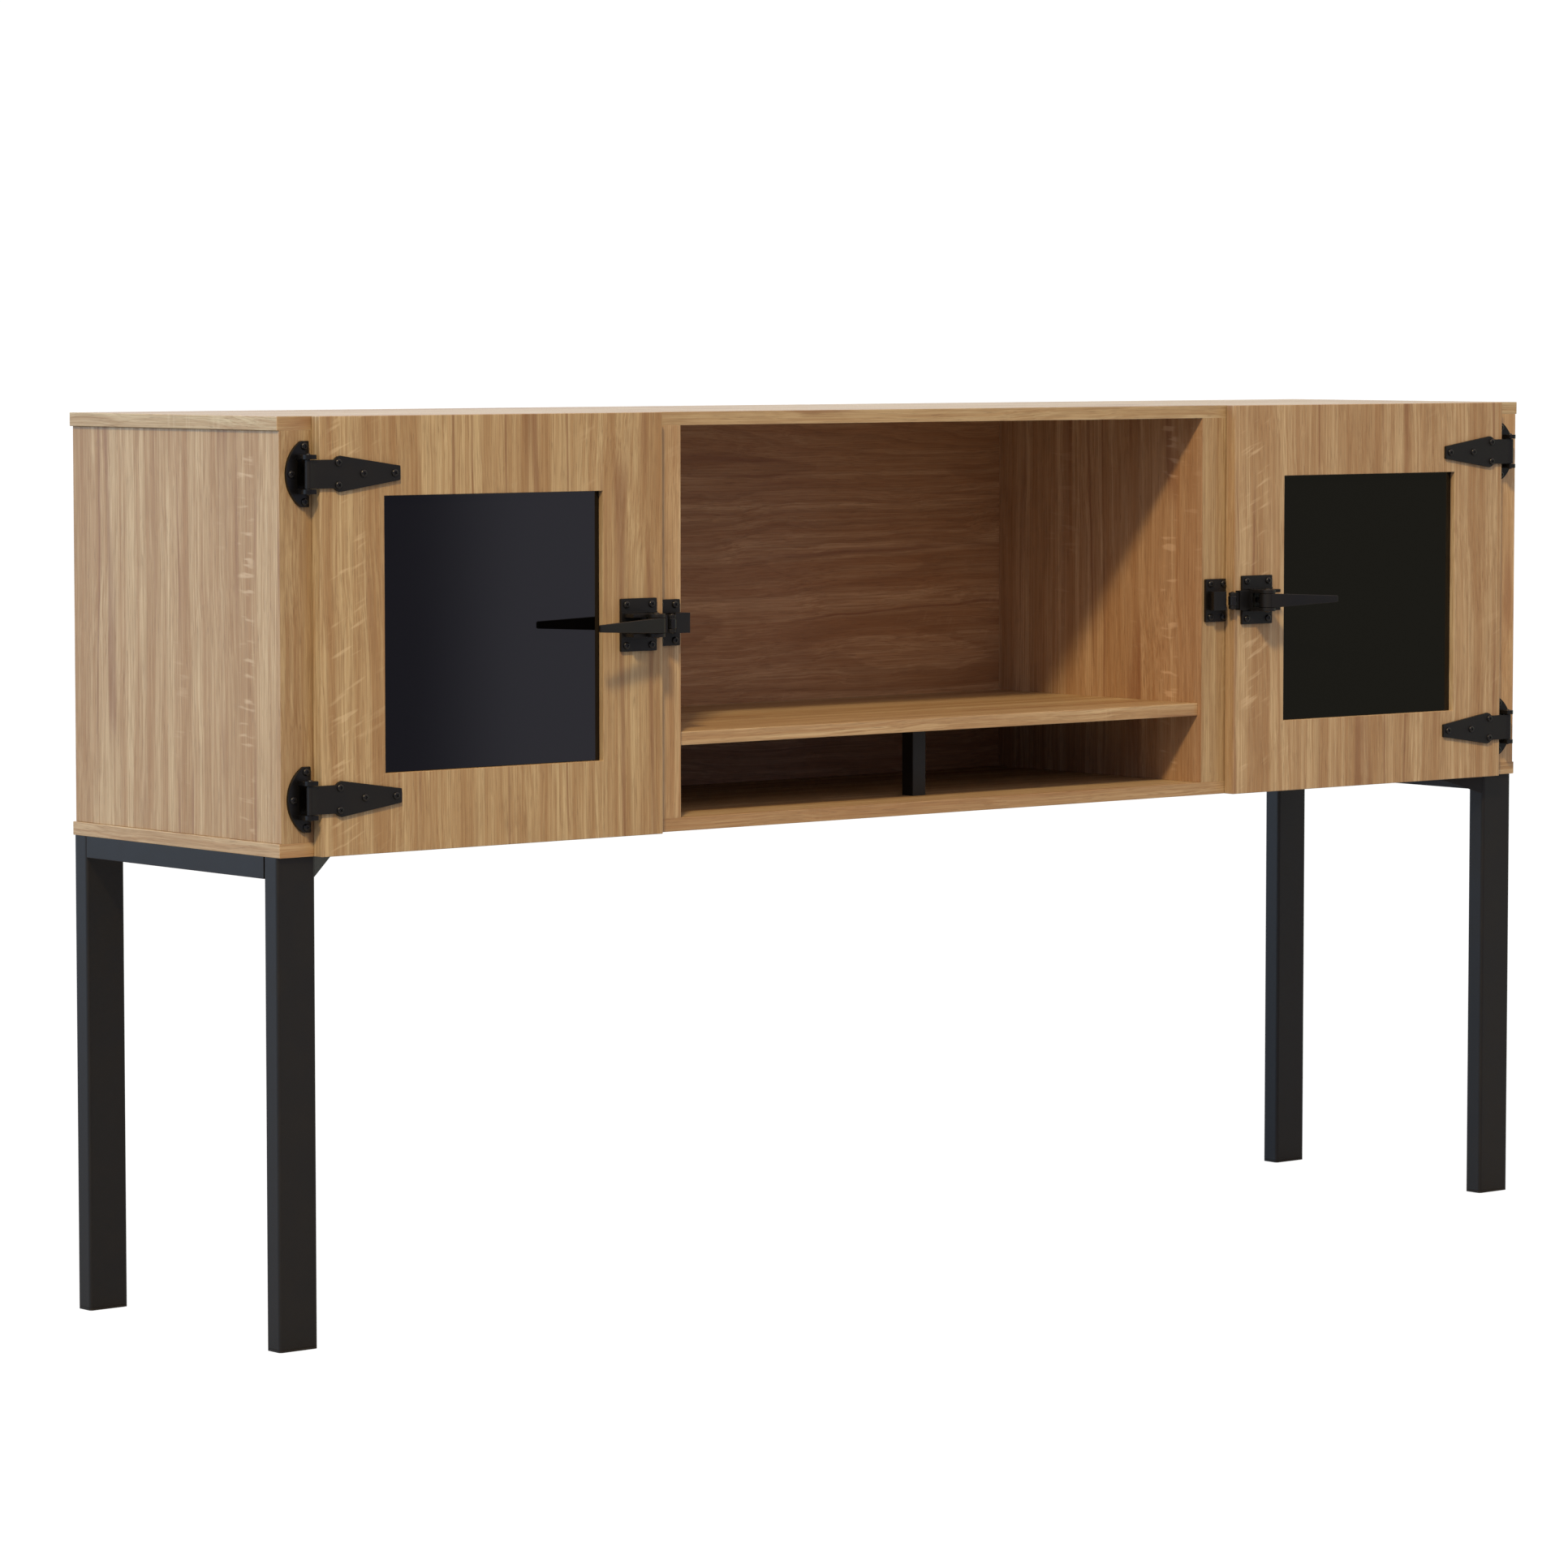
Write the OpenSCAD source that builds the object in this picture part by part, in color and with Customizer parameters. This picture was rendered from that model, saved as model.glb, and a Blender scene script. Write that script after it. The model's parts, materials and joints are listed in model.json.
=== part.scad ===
// Sideboard buffet: an oak-faced cabinet with two glazed doors on a steel leg frame.
// X runs along the cabinet, Y from the doors to the back, Z up from the floor.
// Left and right parts are mirror images, so each is drawn once, from the left end.

/* [Cabinet] */
// Overall width, end to end
width = 1524; // [1400:1:1700]
// Carcass depth, without the doors
depth = 317; // [300:1:360]
// Overall height
height = 800; // [780:1:860]
// Height of the leg frame
leg_height = 425; // [400:1:440]
// Thickness of every wooden board
board = 12; // [12:0.5:14]
// Overhang of top and bottom panels past the sides and the back
overhang = 2; // [1:0.5:4]
// Gap behind the back panel
back_inset = 14; // [10:1:20]

/* [Bays] */
// Width of each closed bay, from the end to the open bay
bay_width = 439; // [430:1:460]
// Width of the vertical boards beside the doors
stile_width = 50; // [48:1:56]
// Clear height under the shelf
shelf_gap = 64.5; // [60:0.5:120]
// Set-back of the shelf's front edge
shelf_setback = 5; // [3:1:10]
// Side of the square shelf post
post_size = 16; // [14:1:20]
// Set-back of the shelf post from the front
post_setback = 54; // [40:1:120]

/* [Doors] */
// Distance from the end to the door's hinged edge
door_inset = 35; // [33:1:38]
// Width of each door
door_width = 373; // [370:1:376]
// Thickness of each door
door_thickness = 12; // [12:0.5:13]
// Gap between the door and the carcass
door_gap = 0.8; // [0.5:0.1:1.5]
// Side of the square window
window_size = 238; // [200:1:250]
// Depth of the window's reveal in front of the glass
reveal = 6; // [5:0.5:7]
// Thickness of the glass
glass_thickness = 4; // [3:0.5:4]

/* [Leg frame] */
// Width of a leg tube along the cabinet
leg_w = 40; // [30:1:50]
// Depth of a leg tube
leg_d = 20; // [20:1:25]
// Wall of the steel tubes
tube_wall = 1.5; // [1.2:0.1:2]
// Height of the side rails and gussets
rail_height = 19; // [16:1:22]
// Length of a gusset along its top edge
gusset_length = 57; // [50:1:65]
// Angle of a gusset from the cabinet's front
gusset_angle = 35; // [30:1:45]

/* [Hinges] */
// Distance between the two hinges of a door
hinge_spacing = 277; // [260:1:290]
// Distance from the end to the hinge pin
pin_inset = 23; // [22:0.5:24]
// Length of the strap past the hinge pin
strap_length = 95; // [85:1:105]

/* [Latches] */
// Length of the lever past its pivot
lever_length = 78; // [70:1:85]
// Projection of the lever's tip in front of the carcass
lever_reach = 53; // [52:0.5:56]

/* [Hidden] */
$fn = 48;
EPS = 0.01;

// Colours
OAK = "#b08a5c";
OAK_DARK = "#9c7850";
STEEL = "#2b2a29";
GLASS = "#17181a";
ZINC = "#8d8f90";
BEECH = "#c9a877";

// Frame: the origin is the middle of the whole box's base
front_y = -(depth - lever_reach) / 2;
body_height = height - leg_height;
board_top = leg_height + board;
inner_height = body_height - 2 * board;
mid_z = leg_height + body_height / 2;
back_y = depth - back_inset - board;
side_depth = depth - overhang;
shelf_z = board_top + shelf_gap;
open_width = width - 2 * bay_width;

// Doors
door_back = -door_gap;
door_front = door_back - door_thickness;
door_edge = door_inset + door_width;
window_x = door_inset + (door_width - window_size) / 2;
window_z = mid_z - window_size / 2;
rabbet = 8;
glass_play = 0.5;
glass_size = window_size + 2 * (rabbet - glass_play);
bead_width = 14;

// Leg frame
leg_front_gap = 4;
leg_rear_gap = 1.5;
leg_corner = 3;
cap_base = 2;
cap_plug = 12;
angle_wall = 3;
gusset_wall = 3;
frame_screw_count = 3;

// Hinges
pin_y = -12.7;
pin_r = 1.5;
bore_r = 1.55;
barrel_r = 3.3;
lug_r = 5.5;
lug_corner = 1.4;
lug_height = 4;
knuckle = 24.4;
knuckle_play = 0.5;
plate_wall = 3;
plate_height = 56.4;
plate_arc_r = 33;
plate_outer = 7.4;
plate_inner = 31;
recess_width = 12;
recess_depth = 2;
strap_wall = 2.6;
strap_wide = 31;
strap_tip = 12.4;
strap_shoulder = 29.5;
strap_neck_end = 25.5;

// Screws
screw_r = 1.75;
head_r = 3.3;
head_rim = 0.7;
head_crown = 1.1;
screw_depth = 10;
door_screw_depth = 9;

// Latches, in a frame at the door's free edge, its front face and the latch's middle height
latch_wall = 2.6;
latch_band = 0.8;
latch_plate_x = -49;
latch_plate_w = 40.4;
latch_plate_h = 47;
pivot_x = -24;
pivot_y = -21.2;
pivot_r = 8;
lever_pin_r = 1.8;
lever_bore_r = 1.85;
lever_half = 6.7;
lever_tip_half = 3.2;
lug_in = 7;
lug_out = 10.2;
bolt_wall = 1.6;
bolt_half = 7.9;
bolt_back = -(latch_wall + latch_band + 0.2);
guide_end = -1.8;
guide_front = -6.6;
roller_x = 6.6;
roller_y = -4.7;
roller_r = 4.2;
roller_half = 4.7;
keeper_wall = 3;

// ---------- helpers ----------

// Places a part drawn from the left end, or its mirror image at the right end
module on_end(right) {
    mirror([right ? 1 : 0, 0, 0])
        translate([-width / 2, front_y, 0])
            children();
}

// Places a part of the latch, drawn from the door's free edge
module on_latch(right) {
    on_end(right)
        translate([door_edge, door_front, mid_z])
            children();
}

// Prism with a drawing in plan and a height in Z
module slab(z0, z1) {
    translate([0, 0, z0])
        linear_extrude(height = z1 - z0)
            children();
}

// Rectangle with true round corners
module round_rect(w, d, r) {
    translate([r, 0]) square([w - 2 * r, d]);
    translate([0, r]) square([w, d - 2 * r]);
    for (x = [r, w - r], y = [r, d - r])
        translate([x, y]) circle(r = r);
}

// Screw whose head's underside is at the origin and whose shank runs along +Z
module screw(length) {
    translate([0, 0, -head_rim]) cylinder(r = head_r, h = head_rim);
    translate([0, 0, -head_rim - head_crown])
        cylinder(r1 = head_r * 0.6, r2 = head_r, h = head_crown);
    cylinder(r = screw_r, h = length);
}

// Screw driven backwards into a front face
module face_screw(x, y, z, length) {
    translate([x, y, z]) rotate([-90, 0, 0]) screw(length);
}

// ---------- carcass ----------

module wide_panel(z) {
    translate([-width / 2, front_y, z]) cube([width, depth, board]);
}

module top_panel() {
    color(OAK) wide_panel(height - board);
}

module bottom_panel() {
    color(OAK) wide_panel(leg_height);
}

// Board with its front edge mitred to meet the stile
module side_panel(right) {
    color(OAK) on_end(right) slab(board_top, board_top + inner_height)
        polygon([
            [overhang, 0], [overhang, side_depth],
            [overhang + board, side_depth], [overhang + board, board]
        ]);
}

module outer_stile(right) {
    color(OAK) on_end(right) slab(board_top, board_top + inner_height)
        polygon([
            [overhang, 0], [overhang + board, board],
            [overhang + stile_width, board], [overhang + stile_width, 0]
        ]);
}

module divider(right) {
    color(OAK) on_end(right) slab(board_top, board_top + inner_height)
        polygon([
            [bay_width, 0], [bay_width - board, board],
            [bay_width - board, back_y], [bay_width, back_y]
        ]);
}

module inner_stile(right) {
    color(OAK) on_end(right) slab(board_top, board_top + inner_height)
        polygon([
            [bay_width, 0], [bay_width - stile_width, 0],
            [bay_width - stile_width, board], [bay_width - board, board]
        ]);
}

module back_panel() {
    inset = overhang + board;
    color(OAK_DARK) translate([-width / 2 + inset, front_y + back_y, board_top])
        cube([width - 2 * inset, board, inner_height]);
}

module centre_shelf() {
    color(OAK) translate([-open_width / 2, front_y + shelf_setback, shelf_z])
        cube([open_width, back_y - shelf_setback, board]);
}

module shelf_post() {
    color(STEEL) translate([1, front_y + post_setback, 0]) slab(board_top, shelf_z)
        difference() {
            round_rect(post_size, post_size, 1);
            translate([tube_wall, tube_wall])
                square(post_size - 2 * tube_wall);
        }
}

// Glued pegs that join the upright boards to the top and bottom panels
dowel_r = 3;
dowel_in_panel = 8;
dowel_in_board = 16;

module panel_dowels() {
    color(BEECH)
    for (right = [false, true], x = [overhang + board / 2, bay_width - board / 2])
        for (y = [60, 150, 240])
            on_end(right) {
                translate([x, y, board_top - dowel_in_panel])
                    cylinder(r = dowel_r, h = dowel_in_panel + dowel_in_board);
                translate([x, y, height - board - dowel_in_board])
                    cylinder(r = dowel_r, h = dowel_in_panel + dowel_in_board);
            }
}

// Turned cams on the hidden faces of the uprights
cam_r = 6;
cam_depth = 9;

module cam_locks() {
    color(ZINC)
    for (right = [false, true], y = [105, 195], z = [board_top + 24, height - board - 24])
        on_end(right) {
            translate([overhang + board - cam_depth, y, z]) rotate([0, 90, 0])
                cylinder(r = cam_r, h = cam_depth);
            translate([bay_width - board, y, z]) rotate([0, 90, 0])
                cylinder(r = cam_r, h = cam_depth);
        }
}

// Pegs between the shelf's ends and the dividers
module shelf_pins() {
    color(ZINC)
    for (right = [false, true], y = [50, 240])
        on_end(right)
            translate([bay_width - 8, y, shelf_z + board / 2]) rotate([0, 90, 0])
                cylinder(r = 2.5, h = 20);
}

// Screws from the back panel into the dividers' rear edges
module back_screws() {
    color(ZINC)
    for (right = [false, true], z = [board_top + 40, mid_z, height - board - 40])
        on_end(right)
            translate([bay_width - board / 2, back_y + board, z]) rotate([90, 0, 0])
                screw(board + 16);
}

// ---------- leg frame ----------

function leg_y(rear) = rear ? depth - leg_rear_gap - leg_d : leg_front_gap;

module leg(right, rear) {
    color(STEEL) on_end(right) translate([0, leg_y(rear), 0]) slab(cap_base, leg_height)
        difference() {
            round_rect(leg_w, leg_d, leg_corner);
            translate([tube_wall, tube_wall])
                square([leg_w - 2 * tube_wall, leg_d - 2 * tube_wall]);
        }
}

// Steel angle along the end, under the bottom panel
module side_rail(right) {
    y0 = leg_y(false) + leg_d;
    y1 = leg_y(true);
    color(STEEL) on_end(right) translate([0, y0, leg_height]) {
        translate([0, 0, -rail_height]) cube([angle_wall, y1 - y0, rail_height]);
        translate([0, 0, -angle_wall]) cube([leg_d, y1 - y0, angle_wall]);
    }
}

// Triangular plate, drawn in its own plane and turned towards the cabinet's middle
module gusset(angle) {
    rotate([0, 0, angle]) translate([0, gusset_wall, 0]) rotate([90, 0, 0])
        linear_extrude(height = gusset_wall)
            polygon([[0, 0], [gusset_length, 0], [0, -rail_height]]);
}

// A front and a rear gusset, trimmed flush with the legs' inner faces
module gussets(right) {
    color(STEEL) on_end(right) difference() {
        union() {
            translate([leg_w - 1, leg_y(false) + 1, leg_height])
                gusset(gusset_angle);
            translate([leg_w - 1, leg_y(true) + leg_d - 1, leg_height])
                mirror([0, 1, 0]) gusset(gusset_angle);
        }
        translate([0, 0, leg_height - 2 * rail_height])
            cube([leg_w, depth, 3 * rail_height]);
    }
}

// Plastic plugs that close the legs and stand on the floor
module foot_caps() {
    play = 0.2;
    inner = tube_wall + play;
    color(STEEL)
    for (right = [false, true], rear = [false, true])
        on_end(right) translate([0, leg_y(rear), 0]) {
            slab(0, cap_base) round_rect(leg_w, leg_d, leg_corner);
            slab(cap_base, cap_base + cap_plug) translate([inner, inner])
                square([leg_w - 2 * inner, leg_d - 2 * inner]);
        }
}

// Screws up through the rails into the bottom panel
module frame_screws() {
    y0 = leg_y(false) + leg_d;
    pitch = (leg_y(true) - y0) / frame_screw_count;
    color(STEEL)
    for (right = [false, true], i = [0 : frame_screw_count - 1])
        on_end(right)
            translate([12, y0 + (i + 0.5) * pitch, leg_height - angle_wall])
                screw(angle_wall + screw_depth - 1);
}

// ---------- hinges ----------

function hinge_z(upper) = mid_z + (upper ? 0.5 : -0.5) * hinge_spacing;

// Half-moon plate on the stile, with two lugs that hold the pin
module hinge_plate(right, upper) {
    lug_z = knuckle / 2 + knuckle_play;
    color(STEEL) on_end(right) translate([0, 0, hinge_z(upper)]) difference() {
        union() {
            rotate([90, 0, 0]) linear_extrude(height = plate_wall)
                intersection() {
                    translate([plate_outer + plate_arc_r, 0]) circle(r = plate_arc_r, $fn = 96);
                    translate([plate_outer, -plate_height / 2])
                        square([plate_inner - plate_outer, plate_height]);
                }
            for (z = [-lug_z - lug_height, lug_z])
                translate([pin_inset, pin_y, 0]) slab(z, z + lug_height) {
                    translate([-lug_r, 0])
                        square([2 * lug_r, -pin_y - plate_wall + EPS]);
                    circle(r = lug_r);
                    translate([0, -lug_r]) round_rect(lug_r, 2 * lug_r, lug_corner);
                }
        }
        translate([plate_inner - recess_width, -plate_wall - 1, -knuckle / 2])
            cube([20, 1 + recess_depth, knuckle]);
        translate([pin_inset, pin_y, -plate_height / 2])
            cylinder(r = bore_r, h = plate_height);
    }
}

// Riveted pins, one in each hinge
module hinge_pins() {
    top = knuckle / 2 + knuckle_play + lug_height;
    head = 1.2;
    color(STEEL)
    for (right = [false, true], upper = [false, true])
        on_end(right) translate([pin_inset, pin_y, hinge_z(upper)]) {
            translate([0, 0, -top]) cylinder(r = pin_r, h = 2 * top);
            translate([0, 0, top]) cylinder(r1 = 2.2, r2 = 1.5, h = head);
            translate([0, 0, -top - head]) cylinder(r1 = 1.5, r2 = 2.2, h = head);
        }
}

// Door leaf of the hinge: a barrel, a neck and a tapered strap
module hinge_strap(right, upper) {
    neck = knuckle / 2;
    wide = strap_wide / 2;
    tip = strap_tip / 2;
    color(STEEL) on_end(right) translate([pin_inset, 0, hinge_z(upper)]) difference() {
        union() {
            translate([0, door_front, 0]) rotate([90, 0, 0])
                linear_extrude(height = strap_wall)
                    polygon([
                        [0, -neck], [strap_neck_end, -neck],
                        [strap_shoulder - 1, -wide + 1], [strap_shoulder + 2, -wide],
                        [strap_length, -tip], [strap_length, tip],
                        [strap_shoulder + 2, wide], [strap_shoulder - 1, wide - 1],
                        [strap_neck_end, neck], [0, neck]
                    ]);
            translate([0, pin_y, -neck]) cylinder(r = barrel_r, h = knuckle);
        }
        translate([0, pin_y, -neck - 1]) cylinder(r = bore_r, h = knuckle + 2);
    }
}

// Screws of the hinge plates and the latch keepers
module carcass_screws() {
    color(STEEL)
    for (right = [false, true]) on_end(right) {
        for (upper = [false, true]) {
            face_screw(26, -plate_wall, hinge_z(upper) + 23.6, screw_depth);
            face_screw(12.4, -plate_wall, hinge_z(upper), screw_depth);
            face_screw(26, -plate_wall, hinge_z(upper) - 23.6, screw_depth);
        }
        for (x = [door_edge + 5.2, door_edge + 22], z = [-16, 16])
            face_screw(x, -keeper_wall, mid_z + z, screw_depth);
    }
}

// ---------- doors ----------

module door_panel(right) {
    color(OAK) on_end(right) difference() {
        translate([door_inset, door_front, leg_height])
            cube([door_width, door_thickness, body_height]);
        translate([window_x, door_front - 1, window_z])
            cube([window_size, door_thickness + 2, window_size]);
        translate([window_x - rabbet, door_front + reveal, window_z - rabbet])
            cube([window_size + 2 * rabbet, door_thickness, window_size + 2 * rabbet]);
    }
}

module door_glass(right) {
    inset = rabbet - glass_play;
    color(GLASS) on_end(right)
        translate([window_x - inset, door_front + reveal, window_z - inset])
            cube([glass_size, glass_thickness, glass_size]);
}

// Four strips that hold the glass in its rabbet
module glass_beads(right) {
    outer = window_size + 2 * rabbet;
    depth_left = door_thickness - reveal - glass_thickness;
    color(STEEL) on_end(right)
        translate([window_x - rabbet, door_back - depth_left, window_z - rabbet]) {
            for (z = [0, outer - bead_width])
                translate([0, 0, z]) cube([outer, depth_left, bead_width]);
            for (x = [0, outer - bead_width])
                translate([x, 0, bead_width])
                    cube([bead_width, depth_left, outer - 2 * bead_width]);
        }
}

// Screws of the hinge straps and the latch base, which ride on the door
module door_screws(right) {
    strap_face = door_front - strap_wall;
    color(STEEL) on_end(right) {
        for (upper = [false, true]) {
            face_screw(52.5, strap_face, hinge_z(upper) + 9.6, door_screw_depth);
            face_screw(52.5, strap_face, hinge_z(upper) - 9.6, door_screw_depth);
            face_screw(78.8, strap_face, hinge_z(upper), door_screw_depth);
            face_screw(111.8, strap_face, hinge_z(upper), door_screw_depth);
        }
        for (x = [-43.2, -14.7], z = [-18.1, 18.1])
            face_screw(door_edge + x, door_front - latch_wall, mid_z + z, door_screw_depth);
    }
}

// ---------- latches ----------

// Base plate with the lever's lugs and the bolt's guide
module latch_base(right) {
    plate_end = latch_plate_x + latch_plate_w;
    color(STEEL) on_latch(right) difference() {
        union() {
            translate([latch_plate_x, -latch_wall, -latch_plate_h / 2])
                cube([latch_plate_w, latch_wall, latch_plate_h]);
            translate([latch_plate_x, -latch_wall - latch_band, -11.8])
                cube([latch_plate_w, latch_band + EPS, 23.6]);
            for (z = [-lug_out, lug_in])
                slab(z, z + lug_out - lug_in) {
                    polygon([
                        [-46.4, 1 - latch_wall], [-46.4, -16.7], [-28, -16.7],
                        [pivot_x, pivot_y], [-16.5, pivot_y], [-16.5, 1 - latch_wall]
                    ]);
                    translate([pivot_x, pivot_y]) circle(r = pivot_r);
                }
            translate([-19, guide_front, -9.35])
                cube([19 + guide_end, -guide_front, 18.7]);
            for (x = [-20.5, -17.3])
                translate([x, -8.6, -10.9]) cube([1.9, 8.6 - latch_wall + EPS, 21.8]);
        }
        translate([-30, bolt_back - bolt_wall - 0.2, -bolt_half - 0.2])
            cube([40, bolt_wall + 0.4, 2 * bolt_half + 0.4]);
        translate([pivot_x, pivot_y, -latch_plate_h / 2])
            cylinder(r = lever_bore_r, h = latch_plate_h);
    }
}

module lever_pin(right) {
    head = 1.3;
    color(STEEL) on_latch(right) translate([pivot_x, pivot_y, 0]) {
        translate([0, 0, -lug_out]) cylinder(r = lever_pin_r, h = 2 * lug_out);
        translate([0, 0, lug_out]) cylinder(r1 = 3, r2 = 2.2, h = head);
        translate([0, 0, -lug_out - head]) cylinder(r1 = 2.2, r2 = 3, h = head);
    }
}

// Long tapered handle on a barrel, with a short finger that draws the bolt
module latch_lever(right) {
    tip_x = pivot_x - lever_length;
    tip_y = -lever_reach - door_front;
    tip_wall = 3;
    color(STEEL) on_latch(right) difference() {
        union() {
            intersection() {
                slab(-lever_half, lever_half)
                    polygon([
                        [pivot_x + 2, pivot_y - pivot_r], [tip_x, tip_y],
                        [tip_x, tip_y + tip_wall], [pivot_x - 5, pivot_y - 2],
                        [pivot_x + 2, pivot_y]
                    ]);
                rotate([90, 0, 0]) linear_extrude(height = 60)
                    polygon([
                        [pivot_x + 2, -lever_half], [pivot_x - 4, -lever_half],
                        [tip_x, -lever_tip_half], [tip_x, lever_tip_half],
                        [pivot_x - 4, lever_half], [pivot_x + 2, lever_half]
                    ]);
            }
            translate([pivot_x, pivot_y, -lever_half])
                cylinder(r = pivot_r, h = 2 * lever_half);
            translate([pivot_x - 1.8, pivot_y, -2.5]) cube([3.6, 12.7, 5]);
        }
        translate([pivot_x, pivot_y, -lever_half - 1])
            cylinder(r = lever_bore_r, h = 2 * lever_half + 2);
    }
}

// Sliding bolt: a tail under the lever, a tongue through the guide and a forked nose
module latch_bolt(right) {
    tail_half = 6.5;
    fork_x = 2.5;
    fork_r = 3.8;
    color(STEEL) on_latch(right) difference() {
        union() {
            translate([-30, bolt_back - bolt_wall, -tail_half])
                cube([30, bolt_wall, 2 * tail_half]);
            translate([-9.5, bolt_back - bolt_wall, -bolt_half])
                cube([9.5 + roller_x, bolt_wall, 2 * bolt_half]);
            translate([-28.8, -11, -2.5]) cube([2.6, 11 + bolt_back, 5]);
            translate([roller_x, roller_y, -bolt_half])
                cylinder(r = fork_r, h = 2 * bolt_half);
            translate([fork_x, -6.4, -bolt_half])
                cube([roller_x - fork_x, 3.4, 2 * bolt_half]);
        }
        translate([roller_x - roller_r - 0.4, -20, -roller_half - 0.2])
            cube([20, 20, 2 * roller_half + 0.4]);
        translate([roller_x, roller_y, -20]) cylinder(r = 1.5, h = 40);
    }
}

module bolt_pin(right) {
    color(STEEL) on_latch(right) translate([roller_x, roller_y, 0]) {
        translate([0, 0, -bolt_half]) cylinder(r = 1.45, h = 2 * bolt_half);
        translate([0, 0, bolt_half]) cylinder(r = 2, h = 0.9);
        translate([0, 0, -bolt_half - 0.9]) cylinder(r = 2, h = 0.9);
    }
}

module latch_roller(right) {
    color(STEEL) on_latch(right) translate([roller_x, roller_y, -roller_half]) difference() {
        cylinder(r = roller_r, h = 2 * roller_half);
        translate([0, 0, -1]) cylinder(r = 1.5, h = 2 * roller_half + 2);
    }
}

// Plate on the inner stile with a cage that the roller closes against
module latch_keeper(right) {
    plate_x = door_edge + 1.4;
    color(STEEL) on_end(right) translate([plate_x, 0, mid_z]) {
        translate([0, -keeper_wall, -20.7]) cube([26.5, keeper_wall, 41.4]);
        slab(-9, 9)
            polygon([
                [11, -15.6], [28.4, -15.6], [22.5, -keeper_wall + EPS], [19, -keeper_wall + EPS],
                [25.2, -13.4], [11, -13.4]
            ]);
        for (z = [-9, 7])
            slab(z, z + 2)
                polygon([
                    [11, -15.6], [28.4, -15.6], [22.5, -keeper_wall + EPS],
                    [13, -keeper_wall + EPS]
                ]);
    }
}

// ---------- assembly ----------

top_panel();
bottom_panel();
side_panel(false);  // side_panel_left
side_panel(true);  // side_panel_right
divider(false);  // divider_left
divider(true);  // divider_right
outer_stile(false);  // outer_stile_left
outer_stile(true);  // outer_stile_right
inner_stile(false);  // inner_stile_left
inner_stile(true);  // inner_stile_right
back_panel();
centre_shelf();
shelf_post();
panel_dowels();
cam_locks();
shelf_pins();
back_screws();
leg(false, false);  // leg_front_left
leg(false, true);  // leg_rear_left
leg(true, false);  // leg_front_right
leg(true, true);  // leg_rear_right
side_rail(false);  // side_rail_left
side_rail(true);  // side_rail_right
gussets(false);  // gussets_left
gussets(true);  // gussets_right
foot_caps();
frame_screws();
hinge_plate(false, true);  // hinge_plate_upper_left
hinge_plate(false, false);  // hinge_plate_lower_left
hinge_plate(true, true);  // hinge_plate_upper_right
hinge_plate(true, false);  // hinge_plate_lower_right
hinge_pins();
carcass_screws();
door_panel(false);  // door_panel_left
door_panel(true);  // door_panel_right
door_glass(false);  // door_glass_left
door_glass(true);  // door_glass_right
glass_beads(false);  // glass_beads_left
glass_beads(true);  // glass_beads_right
hinge_strap(false, true);  // hinge_strap_upper_left
hinge_strap(false, false);  // hinge_strap_lower_left
hinge_strap(true, true);  // hinge_strap_upper_right
hinge_strap(true, false);  // hinge_strap_lower_right
door_screws(false);  // door_screws_left
door_screws(true);  // door_screws_right
latch_base(false);  // latch_base_left
latch_base(true);  // latch_base_right
lever_pin(false);  // lever_pin_left
lever_pin(true);  // lever_pin_right
latch_lever(false);  // latch_lever_left
latch_lever(true);  // latch_lever_right
latch_bolt(false);  // latch_bolt_left
latch_bolt(true);  // latch_bolt_right
bolt_pin(false);  // bolt_pin_left
bolt_pin(true);  // bolt_pin_right
latch_roller(false);  // latch_roller_left
latch_roller(true);  // latch_roller_right
latch_keeper(false);  // latch_keeper_left
latch_keeper(true);  // latch_keeper_right
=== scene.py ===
"""Sideboard buffet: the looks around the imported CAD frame.

Metres throughout. X runs along the cabinet, Y from the doors to the back, Z up from the floor.
Hardware is drawn once, in millimetres, in a frame of its own, and placed at the left or mirrored
to the right.
"""

import json
import math

import bmesh
import bpy
from mathutils import Matrix, Vector


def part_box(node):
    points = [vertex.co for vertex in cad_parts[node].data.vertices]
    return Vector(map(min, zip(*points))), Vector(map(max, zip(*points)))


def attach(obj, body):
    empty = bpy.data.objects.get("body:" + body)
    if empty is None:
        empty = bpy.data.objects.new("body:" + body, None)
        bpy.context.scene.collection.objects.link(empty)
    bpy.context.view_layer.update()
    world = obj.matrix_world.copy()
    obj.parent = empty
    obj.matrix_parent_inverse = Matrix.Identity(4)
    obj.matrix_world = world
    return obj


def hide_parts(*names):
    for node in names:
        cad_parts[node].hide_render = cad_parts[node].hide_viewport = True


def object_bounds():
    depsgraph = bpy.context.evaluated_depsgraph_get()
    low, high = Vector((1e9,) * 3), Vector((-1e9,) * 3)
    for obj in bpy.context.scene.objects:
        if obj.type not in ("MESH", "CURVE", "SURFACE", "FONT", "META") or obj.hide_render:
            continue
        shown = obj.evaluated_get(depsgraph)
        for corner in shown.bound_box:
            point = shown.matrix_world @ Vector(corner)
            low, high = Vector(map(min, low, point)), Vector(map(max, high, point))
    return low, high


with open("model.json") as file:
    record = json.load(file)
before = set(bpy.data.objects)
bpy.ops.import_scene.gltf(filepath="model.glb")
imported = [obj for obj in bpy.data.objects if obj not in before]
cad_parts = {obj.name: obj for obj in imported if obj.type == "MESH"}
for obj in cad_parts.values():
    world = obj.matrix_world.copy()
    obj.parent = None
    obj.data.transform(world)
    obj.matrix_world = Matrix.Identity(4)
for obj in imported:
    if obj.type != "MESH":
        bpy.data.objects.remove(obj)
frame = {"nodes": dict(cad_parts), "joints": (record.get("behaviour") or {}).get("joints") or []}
cad_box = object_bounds()
MM = 0.001
SIDES = ("left", "right")
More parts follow.
